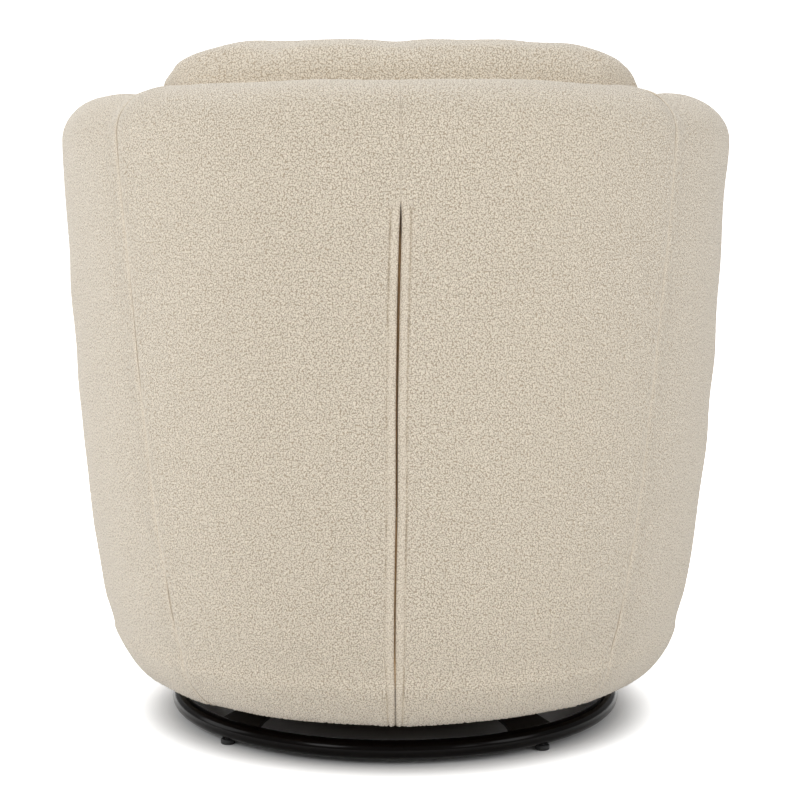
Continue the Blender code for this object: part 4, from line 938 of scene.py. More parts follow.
def back_panel(side, spans, counts):
    """Surface of a back panel with its seams, zip lip and slight unevenness."""
    place = (graded(spans) * (1 - SEAM_EDGE))[:, None]
    row = row_values(counts)[None, :]
    base, angle = shell(side, place, row)
    level = base[..., 2]
    radius = np.hypot(base[..., 0], base[..., 1])
    to_centre = radius * (angle - angle[:1])
    to_seam = radius * (angle[-1:] - angle)
    gather = pucker(base, GATHER_SEED)
    relief = BACK_WAVES * waves(base, BACK_SEED)
    relief += seam_relief(to_seam, SEAM_DEPTH + SEAM_GATHER * gather, SEAM_SWELL)
    hump = gauss(to_seam - RIM_HUMP_AWAY, RIM_HUMP_WIDTH)
    relief += rim_band(level) * RIM_DIP * (hump - gauss(to_seam, RIM_DIP_WIDTH))
    below_top = np.clip((SLIT_TOP + SLIT_FADE / 2 - level) / SLIT_FADE, 0, 1)
    opening = below_top * (np.broadcast_to(row, level.shape) > OUTSIDE)
    closed = 1 - opening
    relief += closed * seam_relief(to_centre, SEAM_DEPTH, SEAM_SWELL)
    fold = -LIP_FOLD * gauss(to_centre, LIP_CREASE_WIDTH) + LIP_FOLD_SWELL * gauss(to_centre - 0.005, 0.004)
    to_crease = to_centre - np.interp(level, LIP_LEVELS, LIP_WIDTHS)
    crease = -(LIP_CREASE + LIP_GATHER * gather) * gauss(to_crease, LIP_CREASE_WIDTH)
    swell = (LIP_SWELL + LIP_GATHER * gather) * gauss(to_crease - LIP_SWELL_AWAY, SWELL_WIDTH)
    relief += opening * (fold + crease + swell)
    seam = SEAM_SHADE * gauss(to_seam, SEAM_LINE)
    seam += closed * CENTRE_SEAM_SHADE * gauss(to_centre, CENTRE_SEAM_LINE)
    # Painted shade in the fold at the slit's edge and in the lips' creases
    lip_shade = LIP_FOLD_SHADE * gauss(to_centre, 0.0008) + LIP_CREASE_SHADE * gauss(to_crease, 0.0011)
    seam += opening * lip_shade
    soft = LIP_BARE * opening * gauss(to_centre - 0.0045, 0.005) + 0.4 * gauss(to_seam, SEAM_BARE)
    return dress(base, relief, seam, soft)


def arm_panel(side, counts_round, counts):
    """Surface of an arm panel, from the side seam round to the front seam."""
    spans = []
    for start, count, power in zip((SIDE_SEAM, SIDE, ARM_FRONT), counts_round, (1.35, 1.0, 1.0)):
        spans.append(start + (np.arange(count) / count) ** power)
    spans[0][0] += SEAM_EDGE
    place = np.append(np.concatenate(spans), FRONT_SEAM)[:, None]
    row = row_values(counts)[None, :]
    base, angle = shell(side, place, row)
    level = base[..., 2]
    radius = np.hypot(base[..., 0], base[..., 1])
    rows = np.broadcast_to(row, level.shape)
    places = np.broadcast_to(place, level.shape)
    to_seam = radius * (angle - angle[:1]) + np.where(places > SIDE, 1.0, 0.0)
    relief = PANEL_WAVES * waves(base, ARM_SEED)
    relief += seam_relief(to_seam, SEAM_DEPTH + SEAM_GATHER * pucker(base, GATHER_SEED), SEAM_SWELL)
    fall = RIM_FALL * (1 - gauss(to_seam, RIM_FALL_START)) * gauss(to_seam - RIM_FALL_AWAY, RIM_FALL_WIDTH)
    relief -= rim_band(level) * (fall + RIM_DIP * gauss(to_seam, RIM_DIP_WIDTH))
    to_front = np.linalg.norm(base - base[-1:], axis=-1)
    below = np.clip((DECK_LEVEL - level) / 0.006, 0, 1) * (rows > OUTSIDE)
    relief += below * seam_relief(to_front, FRONT_SEAM_DEPTH, FRONT_SEAM_SWELL)
    seam = SEAM_SHADE * gauss(to_seam, SEAM_LINE) + below * FRONT_SEAM_SHADE * gauss(to_front, SEAM_LINE)
    soft = 0.5 * gauss(to_seam, SEAM_BARE) + below * 0.5 * gauss(to_front, SEAM_BARE)
    pole = (np.abs(rows - (RIM + OUTSIDE) / 2) < 1e-6) & (places >= ARM_FRONT)
    return dress(base, relief, seam, soft, pole)


def outside_row(level, crest):
    """The row of the outside stretch at a level."""
    rim = crest - RIM_RISE
    return OUTSIDE + (rim - level) / (rim - ROLL_LEVEL)


def front_panel(columns, counts):
    """The straight front below the deck, between the arm fronts."""
    crest = float(arm_crest(1.0))
    first = outside_row(DECK_LEVEL, crest)
    row = np.concatenate(([first], first + (ROLL - first) * np.arange(1, counts[0] + 1) / counts[0],
                          ROLL + np.arange(1, counts[1] + 1) / counts[1],
                          HEM + np.arange(1, counts[2] + 1) / counts[2]))[None, :]
    share = np.linspace(-1, 1, columns)[:, None]
    row, share = np.broadcast_arrays(row, share)
    radius, level = profile(np.full(row.shape, crest), row)
    centre = wall_centre(row, radius, level, np.full(row.shape, crest))
    base = np.stack((share * (centre - GAP), -radius, level), axis=-1)
    to_seam = (1 - np.abs(share)) * centre
    relief = PANEL_WAVES * waves(base, FRONT_SEED)
    relief -= DECK_SEAM_DEPTH * gauss(level - DECK_LEVEL, DECK_SEAM_WIDTH)
    relief += seam_relief(to_seam, FRONT_SEAM_DEPTH, FRONT_SEAM_SWELL)
    seam = FRONT_SEAM_SHADE * gauss(to_seam, SEAM_LINE)
    return dress(base, relief, seam, 0.5 * gauss(to_seam, SEAM_BARE))


def add_cover(name, made, node):
    """Make a cover from its sheets, raise its loops and seat it on its node."""
    outside, lining, seam, share = made
    points, faces = close_cover(outside, lining)
    places = cloth_places(outside, outside[0, 0, 0] * 10)
    mesh = bpy.data.meshes.new(name)
    mesh.from_pydata(points.tolist(), [], faces)
    rest = np.zeros(lining.shape[0] * lining.shape[1])
    add_values(mesh, "nub_share", np.concatenate((share.ravel(), rest)))
    add_values(mesh, "seam_shade", np.concatenate((seam.ravel(), rest)))
    inner = places[::COARSE, ::COARSE]
    add_values(mesh, "cloth_place", np.concatenate((places.reshape(-1, 3), inner.reshape(-1, 3))))
    merge_points(mesh)
    item = make_object(name, mesh, finish("fabric"))
    raise_nubs(item)
    item.data.set_sharp_from_angle(angle=math.radians(75))
    place_piece(item, "seat", "nubby_fabric", node)


def place_piece(item, body, slot, *nodes):
    """Make a piece ride on its body and hide the nodes that it stands for; the slot is not used."""
    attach(item, body)
    if nodes:
        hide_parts(*nodes)


# Cushions
def cube_shell(counts):
    """Surface of a cube from -1 to 1 as merged grids."""
    points, faces = [], []
    for axis in range(3):
        one, two = [other for other in range(3) if other != axis]
        u = np.linspace(-1, 1, counts[one] + 1)
        v = np.linspace(-1, 1, counts[two] + 1)
        for end in (-1, 1):
            grid = np.empty((len(u), len(v), 3))
            grid[..., axis] = end
            grid[..., one] = u[:, None]
            grid[..., two] = v[None, :]
            start = sum(len(part) for part in points)
            points.append(grid.reshape(-1, 3))
            faces.extend(sheet_faces(len(u), len(v), start).tolist())
    return np.concatenate(points), faces


def rounded(a, b, power):
    """Move points of a square onto a rounded square of the same width."""
    size = np.maximum(np.abs(a), np.abs(b))
    length = (np.abs(a) ** power + np.abs(b) ** power) ** (1 / power)
    factor = np.where(size > 0, size / np.maximum(length, 1e-9), 1)
    return a * factor, b * factor


def crown(a, b, power):
    return (1 - np.abs(a) ** power) * (1 - np.abs(b) ** power)


def seat_form(grid):
    """Seat cushion: round at the rear, boxed, flat below and crowned above."""
    a, b, c = grid.T
    half = INNER_FACE - SOFT_FIT
    thickness = SEAT_HEIGHT - SEAT_CROWN - CUSHION_BOTTOM
    flat_a, flat_b = rounded(a, b, np.where(b > 0, 2, 7))
    reach = np.where(b > 0, half, SEAT_FRONT)
    lift = thickness + SEAT_CROWN * crown(flat_a, flat_b, 6)
    return np.stack((half * flat_a, reach * flat_b, CUSHION_BOTTOM + lift * (c + 1) / 2), axis=-1)


def back_form(grid):
    """Back cushion: stands on the seat, follows the round back and swells in its middle."""
    a, c, b = grid.T
    bottom = SEAT_HEIGHT + GAP
    middle = (bottom + BACK_CUSHION_TOP) / 2
    tall = (BACK_CUSHION_TOP - bottom) / 2
    rear = INNER_FACE - SOFT_FIT
    flat_a, flat_b = rounded(a, b, 5.2)
    x = BACK_CUSHION_HALF * flat_a
    back_face = np.sqrt(rear * rear - np.minimum(x * x, 0.0625))
    front_face = BACK_CUSHION_FRONT - BACK_CUSHION_WRAP * flat_a * flat_a
    half = (back_face - front_face) / 2
    swell = EDGE_SHARE + (1 - EDGE_SHARE) * crown(flat_a, flat_b, 4)
    y = (back_face + front_face) / 2 + c * half * swell
    return np.stack((x + BACK_CUSHION_SHIFT * swell, y - SOFT_FIT, middle + tall * flat_b), axis=-1)


def box_seams(axes, ends, steps):
    """Loops on a cube where its boxing meets its faces: axes are those in the face's plane."""
    turn = np.linspace(0, 2 * math.pi, steps, endpoint=False)
    a, b = np.cos(turn), np.sin(turn)
    size = np.maximum(np.abs(a), np.abs(b))
    third = 3 - sum(axes)
    loops = []
    for end in ends:
        loop = np.empty((steps, 3))
        loop[:, axes[0]], loop[:, axes[1]], loop[:, third] = a / size, b / size, end
        loops.append(loop)
    return loops


def remeshed(name, points, faces, voxel):
    item = make_object(name, mesh_from(name, points, faces), finish("fabric"))
    change = item.modifiers.new("remesh", "REMESH")
    change.mode = "VOXEL"
    change.voxel_size = voxel
    change.use_smooth_shade = True
    bake_modifiers(item)
    return item


def inflate(item, settings):
    """Puff a closed mesh out with cloth; returns how far each point moved."""
    start = coordinates(item.data)
    move_points(item.data, start - vertex_normals(item.data) * settings.shrink)
    cloth = item.modifiers.new("cloth", "CLOTH")
    cloth.settings.quality = 4
    cloth.settings.mass = 0.3
    cloth.settings.use_pressure = True
    cloth.settings.uniform_pressure_force = settings.pressure
    cloth.settings.effector_weights.gravity = 0.0
    cloth.settings.bending_stiffness = 2.0
    cloth.collision_settings.use_collision = False
    scene = bpy.context.scene
    for step in range(1, settings.frames + 1):
        scene.frame_set(step)
    moved = coordinates(evaluated_mesh(item))
    item.modifiers.clear()
    scene.frame_set(1)
    shift = moved - start
    length = np.linalg.norm(shift, axis=1, keepdims=True)
    shift *= np.minimum(1, settings.cap / np.maximum(length, 1e-9))
    return shift


def soften(mesh, values, rounds):
    """Average a value over each point's neighbours."""
    ends = read(mesh.edges, "vertices", 2, np.int32)
    one, two = ends.T
    count = np.bincount(ends.ravel(), minlength=len(values))[:, None]
    for _ in range(rounds):
        total = np.zeros_like(values)
        np.add.at(total, one, values[two])
        np.add.at(total, two, values[one])
        values = 0.5 * values + 0.5 * total / np.maximum(count, 1)
    return values


def smooth_shape(item):
    change = item.modifiers.new("smooth", "SUBSURF")
    change.levels = change.render_levels = 1
    change.boundary_smooth = "ALL"
    bake_modifiers(item)


def nearest(points, targets):
    tree = KDTree(len(targets))
    for index, target in enumerate(targets):
        tree.insert(target, index)
    tree.balance()
    found = [tree.find(point) for point in points]
    return np.array([hit[1] for hit in found]), np.array([hit[2] for hit in found])


def sew(item, loops, depth, width):
    """Draw the surface in along seam loops, with small puckers."""
    points = coordinates(item.data)
    normals = vertex_normals(item.data)
    relief = np.zeros(len(points))
    shade = np.zeros(len(points))
    gather = bump_field(points, CUSHION_GATHER_SIZE, CUSHION_GATHER_SEED)
    for loop in loops:
        _, distance = nearest(points.tolist(), loop.tolist())
        relief -= (depth + 0.25 * depth * gather) * gauss(distance, width)
        relief += 0.35 * depth * gauss(distance - 2.4 * width, width * 1.4)
        shade += CUSHION_SEAM_SHADE * gauss(distance, 0.0020)
    move_points(item.data, points + normals * relief[:, None])
    add_values(item.data, "seam_shade", shade)


def make_cushion(name, form, counts, seam_axes, seam_ends, voxel, limit):
    """A boxed cushion: its form, puffed out by cloth, then sewn and given its loops."""
    grid, faces = cube_shell(counts)
    item = remeshed(name, form(grid), faces, voxel)
    soft = coordinates(item.data)
    shift = inflate(item, bpy.context.scene.armchair_cushions)
    soft = soft + soften(item.data, shift, 12)
    soft = soften(item.data, soft, 6)
    move_points(item.data, limit(soft))
    smooth_shape(item)
    surface = coordinates(item.data)
    loops = []
    for line in box_seams(seam_axes, seam_ends, SEAM_LOOP_STEPS):
        index, _ = nearest(form(line).tolist(), surface.tolist())
        loop = surface[index]
        for _ in range(8):
            loop = 0.5 * loop + 0.25 * (np.roll(loop, 1, axis=0) + np.roll(loop, -1, axis=0))
        loops.append(loop)
    sew(item, loops, CUSHION_SEAM_DEPTH, CUSHION_SEAM_WIDTH)
    points = coordinates(item.data)
    relief = CUSHION_WAVES * bump_field(points, CUSHION_WAVE_SIZE, CUSHION_SEED)
    move_points(item.data, points + vertex_normals(item.data) * relief[:, None])
    raise_nubs(item)
    return item


def seat_limit(points):
    """Keep the seat cushion on its deck, between the arms and under the back cushion."""
    reach = INNER_FACE - SOFT_FIT / 2
    points[:, 2] = np.clip(points[:, 2], CUSHION_BOTTOM + SEAT_CLEAR_BELOW, SEAT_HEIGHT - SEAT_CLEAR_ABOVE)
    points[:, 0] = np.clip(points[:, 0], -reach, reach)
    rear = points[:, 1] > 0
    radius = np.hypot(points[:, 0], points[:, 1])
    factor = np.where(rear & (radius > reach), reach / np.maximum(radius, 1e-9), 1)
    points[:, :2] *= factor[:, None]
    return points


def back_limit(points):
    """Keep the back cushion on the seat cushion and inside the round back with its rounded rim."""
    points[:, 2] = np.maximum(points[:, 2], SEAT_HEIGHT + BACK_CLEAR_BELOW)
    radius = np.hypot(points[:, 0], points[:, 1])
    crest = rear_crest(np.arctan2(np.abs(points[:, 0]), points[:, 1]))
    turn = np.clip((points[:, 2] - crest + RIM_RISE) / RIM_RISE, 0, 1)
    reach = WALL_CENTRE - (WALL_CENTRE - INNER_FACE) * np.sqrt(1 - turn * turn) - SOFT_FIT / 2
    held = (radius > reach) & (points[:, 1] > 0) & (points[:, 2] < crest)
    points[:, :2] *= np.where(held, reach / np.maximum(radius, 1e-9), 1)[:, None]
    return points


# Zip and stitches
def stitch_tree():
    """Instances a short stitch along each curve, evenly spaced and turned with it."""
    inputs = [("Geometry", "Geometry", None), ("Spacing", "Float", 0.005), ("Stitch", "Object", None),
              ("Material", "Material", None)]
    tree, wiring, given, end = new_group("Stitches Along a Path", "GeometryNodeTree", inputs,
                                         [("Geometry", "Geometry")])
    line = wiring.node("GeometryNodeMeshToCurve", {"Mesh": given["Geometry"]}).outputs[0]
    spots = wiring.node("GeometryNodeResampleCurve", {"Curve": line, "Length": given["Spacing"]},
                        mode="LENGTH")
    tangent = wiring.node("GeometryNodeInputTangent").outputs[0]
    facing = wiring.node("GeometryNodeInputNamedAttribute", {"Name": "facing"},
                         data_type="FLOAT_VECTOR").outputs[0]
    turn = wiring.node("FunctionNodeAxesToRotation", {"Primary Axis": tangent, "Secondary Axis": facing},
                       primary_axis="X", secondary_axis="Z").outputs[0]
    shape = wiring.node("GeometryNodeObjectInfo", {"Object": given["Stitch"]}).outputs["Geometry"]
    copies = wiring.node("GeometryNodeInstanceOnPoints", {"Points": spots.outputs[0], "Instance": shape,
                                                          "Rotation": turn}).outputs[0]
    plain = wiring.node("GeometryNodeRealizeInstances", {0: copies}).outputs[0]
    dressed = wiring.node("GeometryNodeSetMaterial", {0: plain, "Material": given["Material"]})
    set_inputs(end, {"Geometry": dressed.outputs[0]})
    return tree


def tube_mesh(name, path, radius, sides, closed=False):
    """A round tube along a path, with closed ends unless it is a ring."""
    path = [Vector(point) for point in path]
    count = len(path)
    points = []
    side = None
    for index, spot in enumerate(path):
        before = path[index - 1] if index or closed else path[0]
        after = path[(index + 1) % count] if index + 1 < count or closed else path[-1]
        along = (after - before).normalized()
        if side is None:
            side = along.orthogonal().normalized()
        side = (side - along * side.dot(along)).normalized()
        lift = along.cross(side)
        for step in range(sides):
            turn = 2 * math.pi * step / sides
            points.append(spot + side * (radius * math.cos(turn)) + lift * (radius * math.sin(turn)))
    faces = sheet_faces(count, sides, round_columns=closed, round_rows=True).tolist()
    if not closed:
        faces += [list(reversed(range(sides))), list(range((count - 1) * sides, count * sides))]
    return mesh_from(name, [tuple(point) for point in points], faces)


def lathe(outline, steps):
    """Turn an outline that starts and ends on the axis."""
    turn = np.linspace(0, 2 * math.pi, steps, endpoint=False)[:, None]
    reach, level = np.array(outline).T
    points = np.stack((reach * np.cos(turn), reach * np.sin(turn), level + 0 * turn), axis=-1)
    return points.reshape(-1, 3), sheet_faces(steps, len(outline), round_columns=True)


def ring_sheet(sheets):
    """Close two ring-shaped sheets, each a grid of turns and rings, into one thin piece."""
    turns, rings = sheets[0].shape[:2]
    points = np.concatenate([sheet.reshape(-1, 3) for sheet in sheets])
    count = turns * rings
    quads = sheet_faces(turns, rings, round_columns=True)
    faces = [*quads, *(quads[:, ::-1] + count)]
    for edge in (0, rings - 1):
        step = np.arange(turns) * rings + edge
        after = np.roll(step, -1)
        faces.extend(np.stack((step, after, after + count, step + count), axis=-1))
    return points, faces


def arc(radius, level, turns):
    """Points on a circle round the swivel axis, at angles from straight behind."""
    return [(radius * math.sin(turn), radius * math.cos(turn), level) for turn in turns]


def stitch_shape(length, rise, radius):
    """One stitch: a short arch of thread along X."""
    path = []
    for step in range(7):
        share = step / 6
        path.append((length * (share - 0.5), 0, rise * math.sin(math.pi * share) - 0.3 * rise))
    return make_object("stitch", tube_mesh("stitch", path, radius, 6), finish("thread"))


def along_path(name, lines, shape, spacing, material):
    """Repeat a shape along lines of points that each carry a facing direction."""
    points, edges, facings = [], [], []
    for line, facing in lines:
        start = len(points)
        points.extend(line)
        facings.extend(facing)
        edges.extend((start + step, start + step + 1) for step in range(len(line) - 1))
    mesh = bpy.data.meshes.new(name)
    mesh.from_pydata(np.asarray(points).tolist(), edges, [])
    add_values(mesh, "facing", facings)
    item = make_object(name, mesh, finish(material))
    run_tree(item, once("stitches", stitch_tree), {"Spacing": spacing, "Stitch": shape,
                                                   "Material": finish(material)})
    bpy.data.objects.remove(shape)
    if item.data.attributes.get("facing"):
        item.data.attributes.remove(item.data.attributes["facing"])
    return item


# Settings
class ArmchairFabric(bpy.types.PropertyGroup):
    nub_size: FloatProperty(name="Nub size", description="Distance between the yarn's loops", default=0.0018,
                            min=0.001, subtype="DISTANCE", unit="LENGTH")
    nub_height: FloatProperty(name="Nub height", description="How far the loops stand out", default=0.0008,
                              min=0.0, subtype="DISTANCE", unit="LENGTH")
    tuft_size: FloatProperty(name="Tuft size", default=0.0042, min=0.001, subtype="DISTANCE", unit="LENGTH",
                             description="Distance between the tufts that break the outline")
    tuft_height: FloatProperty(name="Tuft height", description="How far the tufts stand out", default=0.0003,
                               min=0.0, subtype="DISTANCE", unit="LENGTH")
    light: FloatVectorProperty(name="Light", description="Colour of the loops", size=3, subtype="COLOR",
                               default=(0.90, 0.81, 0.67))
    # Painted shade in the pits between the loops
    deep: FloatVectorProperty(name="Deep", description="Colour between the loops", size=3, subtype="COLOR",
                              default=(0.50, 0.41, 0.305))
    halo: FloatProperty(name="Halo", description="Strength of the soft halo of fibre", default=0.6, min=0,
                        max=1)


class ArmchairCushions(bpy.types.PropertyGroup):
    pressure: FloatProperty(name="Pressure", description="Air pressure that puffs a cushion out", default=4.0)
    frames: IntProperty(name="Frames", description="Frames of cloth simulation", default=20, min=2)
    cap: FloatProperty(name="Cap", description="Furthest that a point may move", default=0.018,
                       subtype="DISTANCE", unit="LENGTH")
    shrink: FloatProperty(name="Shrink", description="How much smaller the cushion starts", default=0.002,
                          subtype="DISTANCE", unit="LENGTH")


class ArmchairStage(bpy.types.PropertyGroup):
    distance: FloatProperty(name="Distance", description="Camera distance from the swivel axis", default=3.4,
                            subtype="DISTANCE", unit="LENGTH")
    height: FloatProperty(name="Height", description="Camera height above the floor", default=0.930,
                          subtype="DISTANCE", unit="LENGTH")
    pitch: FloatProperty(name="Pitch", description="Camera tilt below the horizon", subtype="ANGLE",
                         default=math.radians(9.615))
    azimuth: FloatProperty(name="Azimuth", description="Camera angle past straight behind", subtype="ANGLE",
                           default=math.radians(0.5))
    dome: FloatProperty(name="Dome", description="Strength of the even light from all round", default=0.56)
    key: FloatProperty(name="Key", description="Power of the key light", default=31.0, subtype="POWER")
    fill: FloatProperty(name="Fill", description="Power of the fill light", default=22.0, subtype="POWER")
    top: FloatProperty(name="Top", description="Power of the light above the seat", default=24.0,
                       subtype="POWER")
    glint: FloatProperty(name="Glint", description="Power of the low light that the ring mirrors",
                         default=4.0, subtype="POWER")


# Operators
class ARMCHAIR_OT_base(bpy.types.Operator):
    """Ring, arms, weld beads and glides of the base"""

    bl_idname = "armchair.base"
    bl_label = "Base"

    def execute(self, context):
        low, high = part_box("base_ring")
        tube = (high.z - low.z) / 2
        radius = high.x - tube
        level = (low.z + high.z) / 2
        path = arc(radius, level, np.linspace(0, 2 * math.pi, 220, endpoint=False))
        ring = make_object("ring", tube_mesh("ring", path, tube, 32, closed=True), finish("paint"))
        place_piece(ring, "base", "base_paint", "base_ring")
        for index in range(4):
            self.glide(index + 1)
            self.arm(index + 1)
        for index in range(4):
            self.weld(index + 1, radius - tube)
        return {"FINISHED"}

    def glide(self, number):
        """A moulded foot with a rounded edge."""
        node = f"glide_{number}"
        low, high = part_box(node)
        centre = (low + high) / 2
        radius = (high.x - low.x) / 2
        top, soft = GLIDE_TOP, GLIDE_EDGE
        outline = [(0, 0), (radius - soft, 0)]
        for step in range(1, 5):
            turn = QUARTER_TURN * step / 4
            outline.append((radius - soft + soft * math.sin(turn), soft - soft * math.cos(turn)))
        outline += [(radius, top - soft / 2), (radius - soft / 2, top), (GLIDE_STEM, top),
                    (GLIDE_STEM, high.z), (0, high.z)]
        points, faces = lathe(outline, 32)
        mesh = mesh_from(f"foot_{number}", points + (centre.x, centre.y, 0), faces)
        mesh.set_sharp_from_angle(angle=math.radians(40))
        item = make_object(f"foot_{number}", mesh, finish("plastic"))
        place_piece(item, "base", "glide_plastic", node)

    def arm(self, number):
        """A flat steel arm with rounded edges, made from its solid."""
        node = f"base_arm_{number}"
        mesh = solid_copy(node, f"arm_bar_{number}", flat=2, sharp=0.9, bevel=BASE_ARM_EDGE, segments=3)
        mesh.shade_smooth()
        mesh.set_sharp_from_angle(angle=math.radians(50))
        item = make_object(mesh.name, mesh, finish("arm paint painted lighter"))
        place_piece(item, "base", "base_paint", node)

    def weld(self, number, inner):
        """A rippled bead where an arm meets the ring's inner side."""
        low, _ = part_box(f"base_arm_{number}")
        middle = BASE_ARM_TURN + QUARTER_TURN * (number - 0.5)
        turns = middle + WELD_HALF / inner * np.linspace(-1, 1, 24)
        line = arc(inner - WELD_SUNK, low.z + WELD_LEVEL, turns)
        facing = [(-math.sin(turn), -math.cos(turn), 1.0) for turn in turns]
        bead = bpy.data.meshes.new("bead")
        shape = bmesh.new()
        bmesh.ops.create_icosphere(shape, subdivisions=2, radius=WELD_BEAD)
        for vertex in shape.verts:
            vertex.co.x *= WELD_FLATNESS
        shape.to_mesh(bead)
        shape.free()
        item = along_path(f"weld_{number}", [(line, facing)], make_object("bead", bead, finish("paint")),
                          WELD_STEP, "paint")
        place_piece(item, "base", "base_paint")


class ARMCHAIR_OT_frame(bpy.types.Operator):
    """Finishes of the swivel, bolts, springs, plywood frame and zip hardware"""

    bl_idname = "armchair.frame"
    bl_label = "Frame and swivel"

    def execute(self, context):
        finishes = {"steel": "zinc", "plywood": "plywood", "zip_tape": "zip tape", "glide_plastic": "plastic",
                    "base_paint": "paint", "dust_cloth": "dust cloth", "foam": "foam", "deck_cloth": "deck",
                    "nubby_fabric": "fabric"}
        for part in frame["record"]["subparts"]:
            item = frame["nodes"][part["node"]]
            item.data.materials.clear()
            plain = "bronze" if part["node"] == "zip_slider" else finishes[part["material_slot"]]
            item.data.materials.append(finish(plain))
        return {"FINISHED"}


class ARMCHAIR_OT_dust_cover(bpy.types.Operator):
    """Dust cover under the seat, with the staples that hold it"""

    bl_idname = "armchair.dust_cover"
    bl_label = "Dust cover"

    def execute(self, context):
        low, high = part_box("dust_cover")
        outer = high.y
        rings, turns = 24, 180
        angle = np.linspace(0, 2 * math.pi, turns, endpoint=False)[:, None]
        share = np.linspace(0, 1, rings)[None, :]
        plan = np.maximum(np.abs(np.cos(angle)), np.abs(np.sin(angle)))
        square = np.where(np.cos(angle) > 0, 1.0, np.minimum(1 / plan, 1.17))
        radius = HUB_OPENING + (outer - HUB_OPENING) * share
        reach = radius * (1 + (square - 1) * share ** 2 * 0.8)
        sag = -DUST_SAG * np.sin(math.pi * share) * (1 + 0.5 * np.sin(7 * angle))
        x, y = reach * np.sin(angle), reach * np.cos(angle)
        sheets = [np.stack((x, y, level + sag), axis=-1) for level in (low.z + 0.0002, high.z)]
        points, faces = ring_sheet(sheets)
        item = make_object("underside_cloth", mesh_from("underside_cloth", points, faces),
                           finish("dust cloth"))
        place_piece(item, "seat", "dust_cloth", "dust_cover")
        self.staples(outer - STAPLE_INSET, low.z - STAPLE_WIRE)
        return {"FINISHED"}

    def staples(self, radius, level):
        """Staples that hold the dust cover and hem to the hoop."""
        line = arc(radius, level, np.linspace(-STAPLED_TURN, STAPLED_TURN, 201))
        path = [(-0.005, 0, -0.0012), (-0.005, 0, 0.0002), (-0.0044, 0, 0.0005), (0.0044, 0, 0.0005),
                (0.005, 0, 0.0002), (0.005, 0, -0.0012)]
        shape = make_object("staple", tube_mesh("staple", path, STAPLE_WIRE, 5), finish("zinc"))
        item = along_path("staples", [(line, [(0, 0, -1)] * len(line))], shape, STAPLE_STEP, "zinc")
        place_piece(item, "seat", "steel")


class ARMCHAIR_OT_padding(bpy.types.Operator):
    """Foam of the back, arms and front, the deck pad and the roll along the front rail"""

    bl_idname = "armchair.padding"
    bl_label = "Padding"

    def execute(self, context):
        for node, new_name in (("back_foam", "back_padding"), ("arm_foam_left", "arm_padding_left"),
                               ("arm_foam_right", "arm_padding_right"), ("front_foam", "front_padding")):
            self.soft_copy(node, new_name, "foam", "foam", 0.0)
        deck = self.soft_copy("deck_pad", "seat_deck", "deck", "deck_cloth", 0.004)
        points = coordinates(deck.data)
        middle = np.clip(1 - (points[:, 0] ** 2 + points[:, 1] ** 2) / 0.06, 0, 1)
        low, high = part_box("deck_pad")
        upper = np.clip((points[:, 2] - low.z) / (high.z - low.z), 0, 1)
        points[:, 2] -= 0.0015 * middle * upper
        move_points(deck.data, points)
        self.roll()
        return {"FINISHED"}

    def soft_copy(self, node, name, material, slot, bevel):
        """A padded piece made from its solid, drawn in with the tucked cloth and held below the rim."""
        mesh = solid_copy(node, name, flat=1, sharp=0.7, bevel=bevel, segments=4, triangles=True)
        points = coordinates(mesh)
        drop = np.clip((ROLL_LEVEL - points[:, 2]) / ROLL_HEIGHT, 0, 1)
        behind = np.clip(1 + points[:, 1] / 0.1, 0, 1) * (np.hypot(points[:, 0], points[:, 1]) > INNER_FACE)
        row = ROLL + np.arcsin(drop) / QUARTER_TURN
        factor = 1 - np.where(drop > 0, tuck(row) + FOAM_SLACK, 0) * behind / FOOT_RADIUS
        points[:, :2] *= factor[:, None]
        radius = np.hypot(points[:, 0], np.maximum(points[:, 1], 0))
        high = np.clip((points[:, 2] - FOAM_TOP) / 0.05, 0, 1) * np.clip(points[:, 1] / 0.03, 0, 1)
        inward = 1 + FOAM_INSET * high * (WALL_CENTRE - radius) / np.maximum(radius, INNER_FACE / 2)
        points[:, :2] *= inward[:, None]
        points[:, 2] -= FOAM_DROP * high
        move_points(mesh, points)
        mesh.shade_smooth()
        mesh.set_sharp_from_angle(angle=math.radians(45))
        item = make_object(name, mesh, finish(material))
        place_piece(item, "seat", slot, node)
        return item

    def roll(self):
        """The upholstered roll under the front of the seat cushion."""
        low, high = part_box("front_edge_roll")
        low.z -= FRONT_ROLL_SINK
        high.z -= FRONT_ROLL_CLEARANCE
        middle, half = (high + low) / 2, (high - low) / 2
        around, along = 84, 200
        turn = np.linspace(0, 2 * math.pi, around, endpoint=False)
        swing, rise = [np.sign(part) * np.abs(part) ** FRONT_ROLL_POWER
                       for part in (np.cos(turn), np.sin(turn))]
        x = np.linspace(-FRONT_ROLL_REACH, FRONT_ROLL_REACH, along)[:, None]
        end = np.clip((FRONT_ROLL_REACH - np.abs(x)) / FRONT_ROLL_END, 0, 1)
        pull = np.sqrt(1 - (1 - end) ** 2)
        y, z = middle.y + half.y * swing * pull, middle.z + half.z * rise * pull
        points = np.stack((x + 0 * y, y, z), axis=-1).reshape(-1, 3)
        faces = sheet_faces(along, around, round_rows=True)
        item = make_object("front_roll", mesh_from("front_roll", points, faces), finish("fabric"))
        raise_nubs(item, 0.9)
        place_piece(item, "seat", "nubby_fabric", "front_edge_roll")


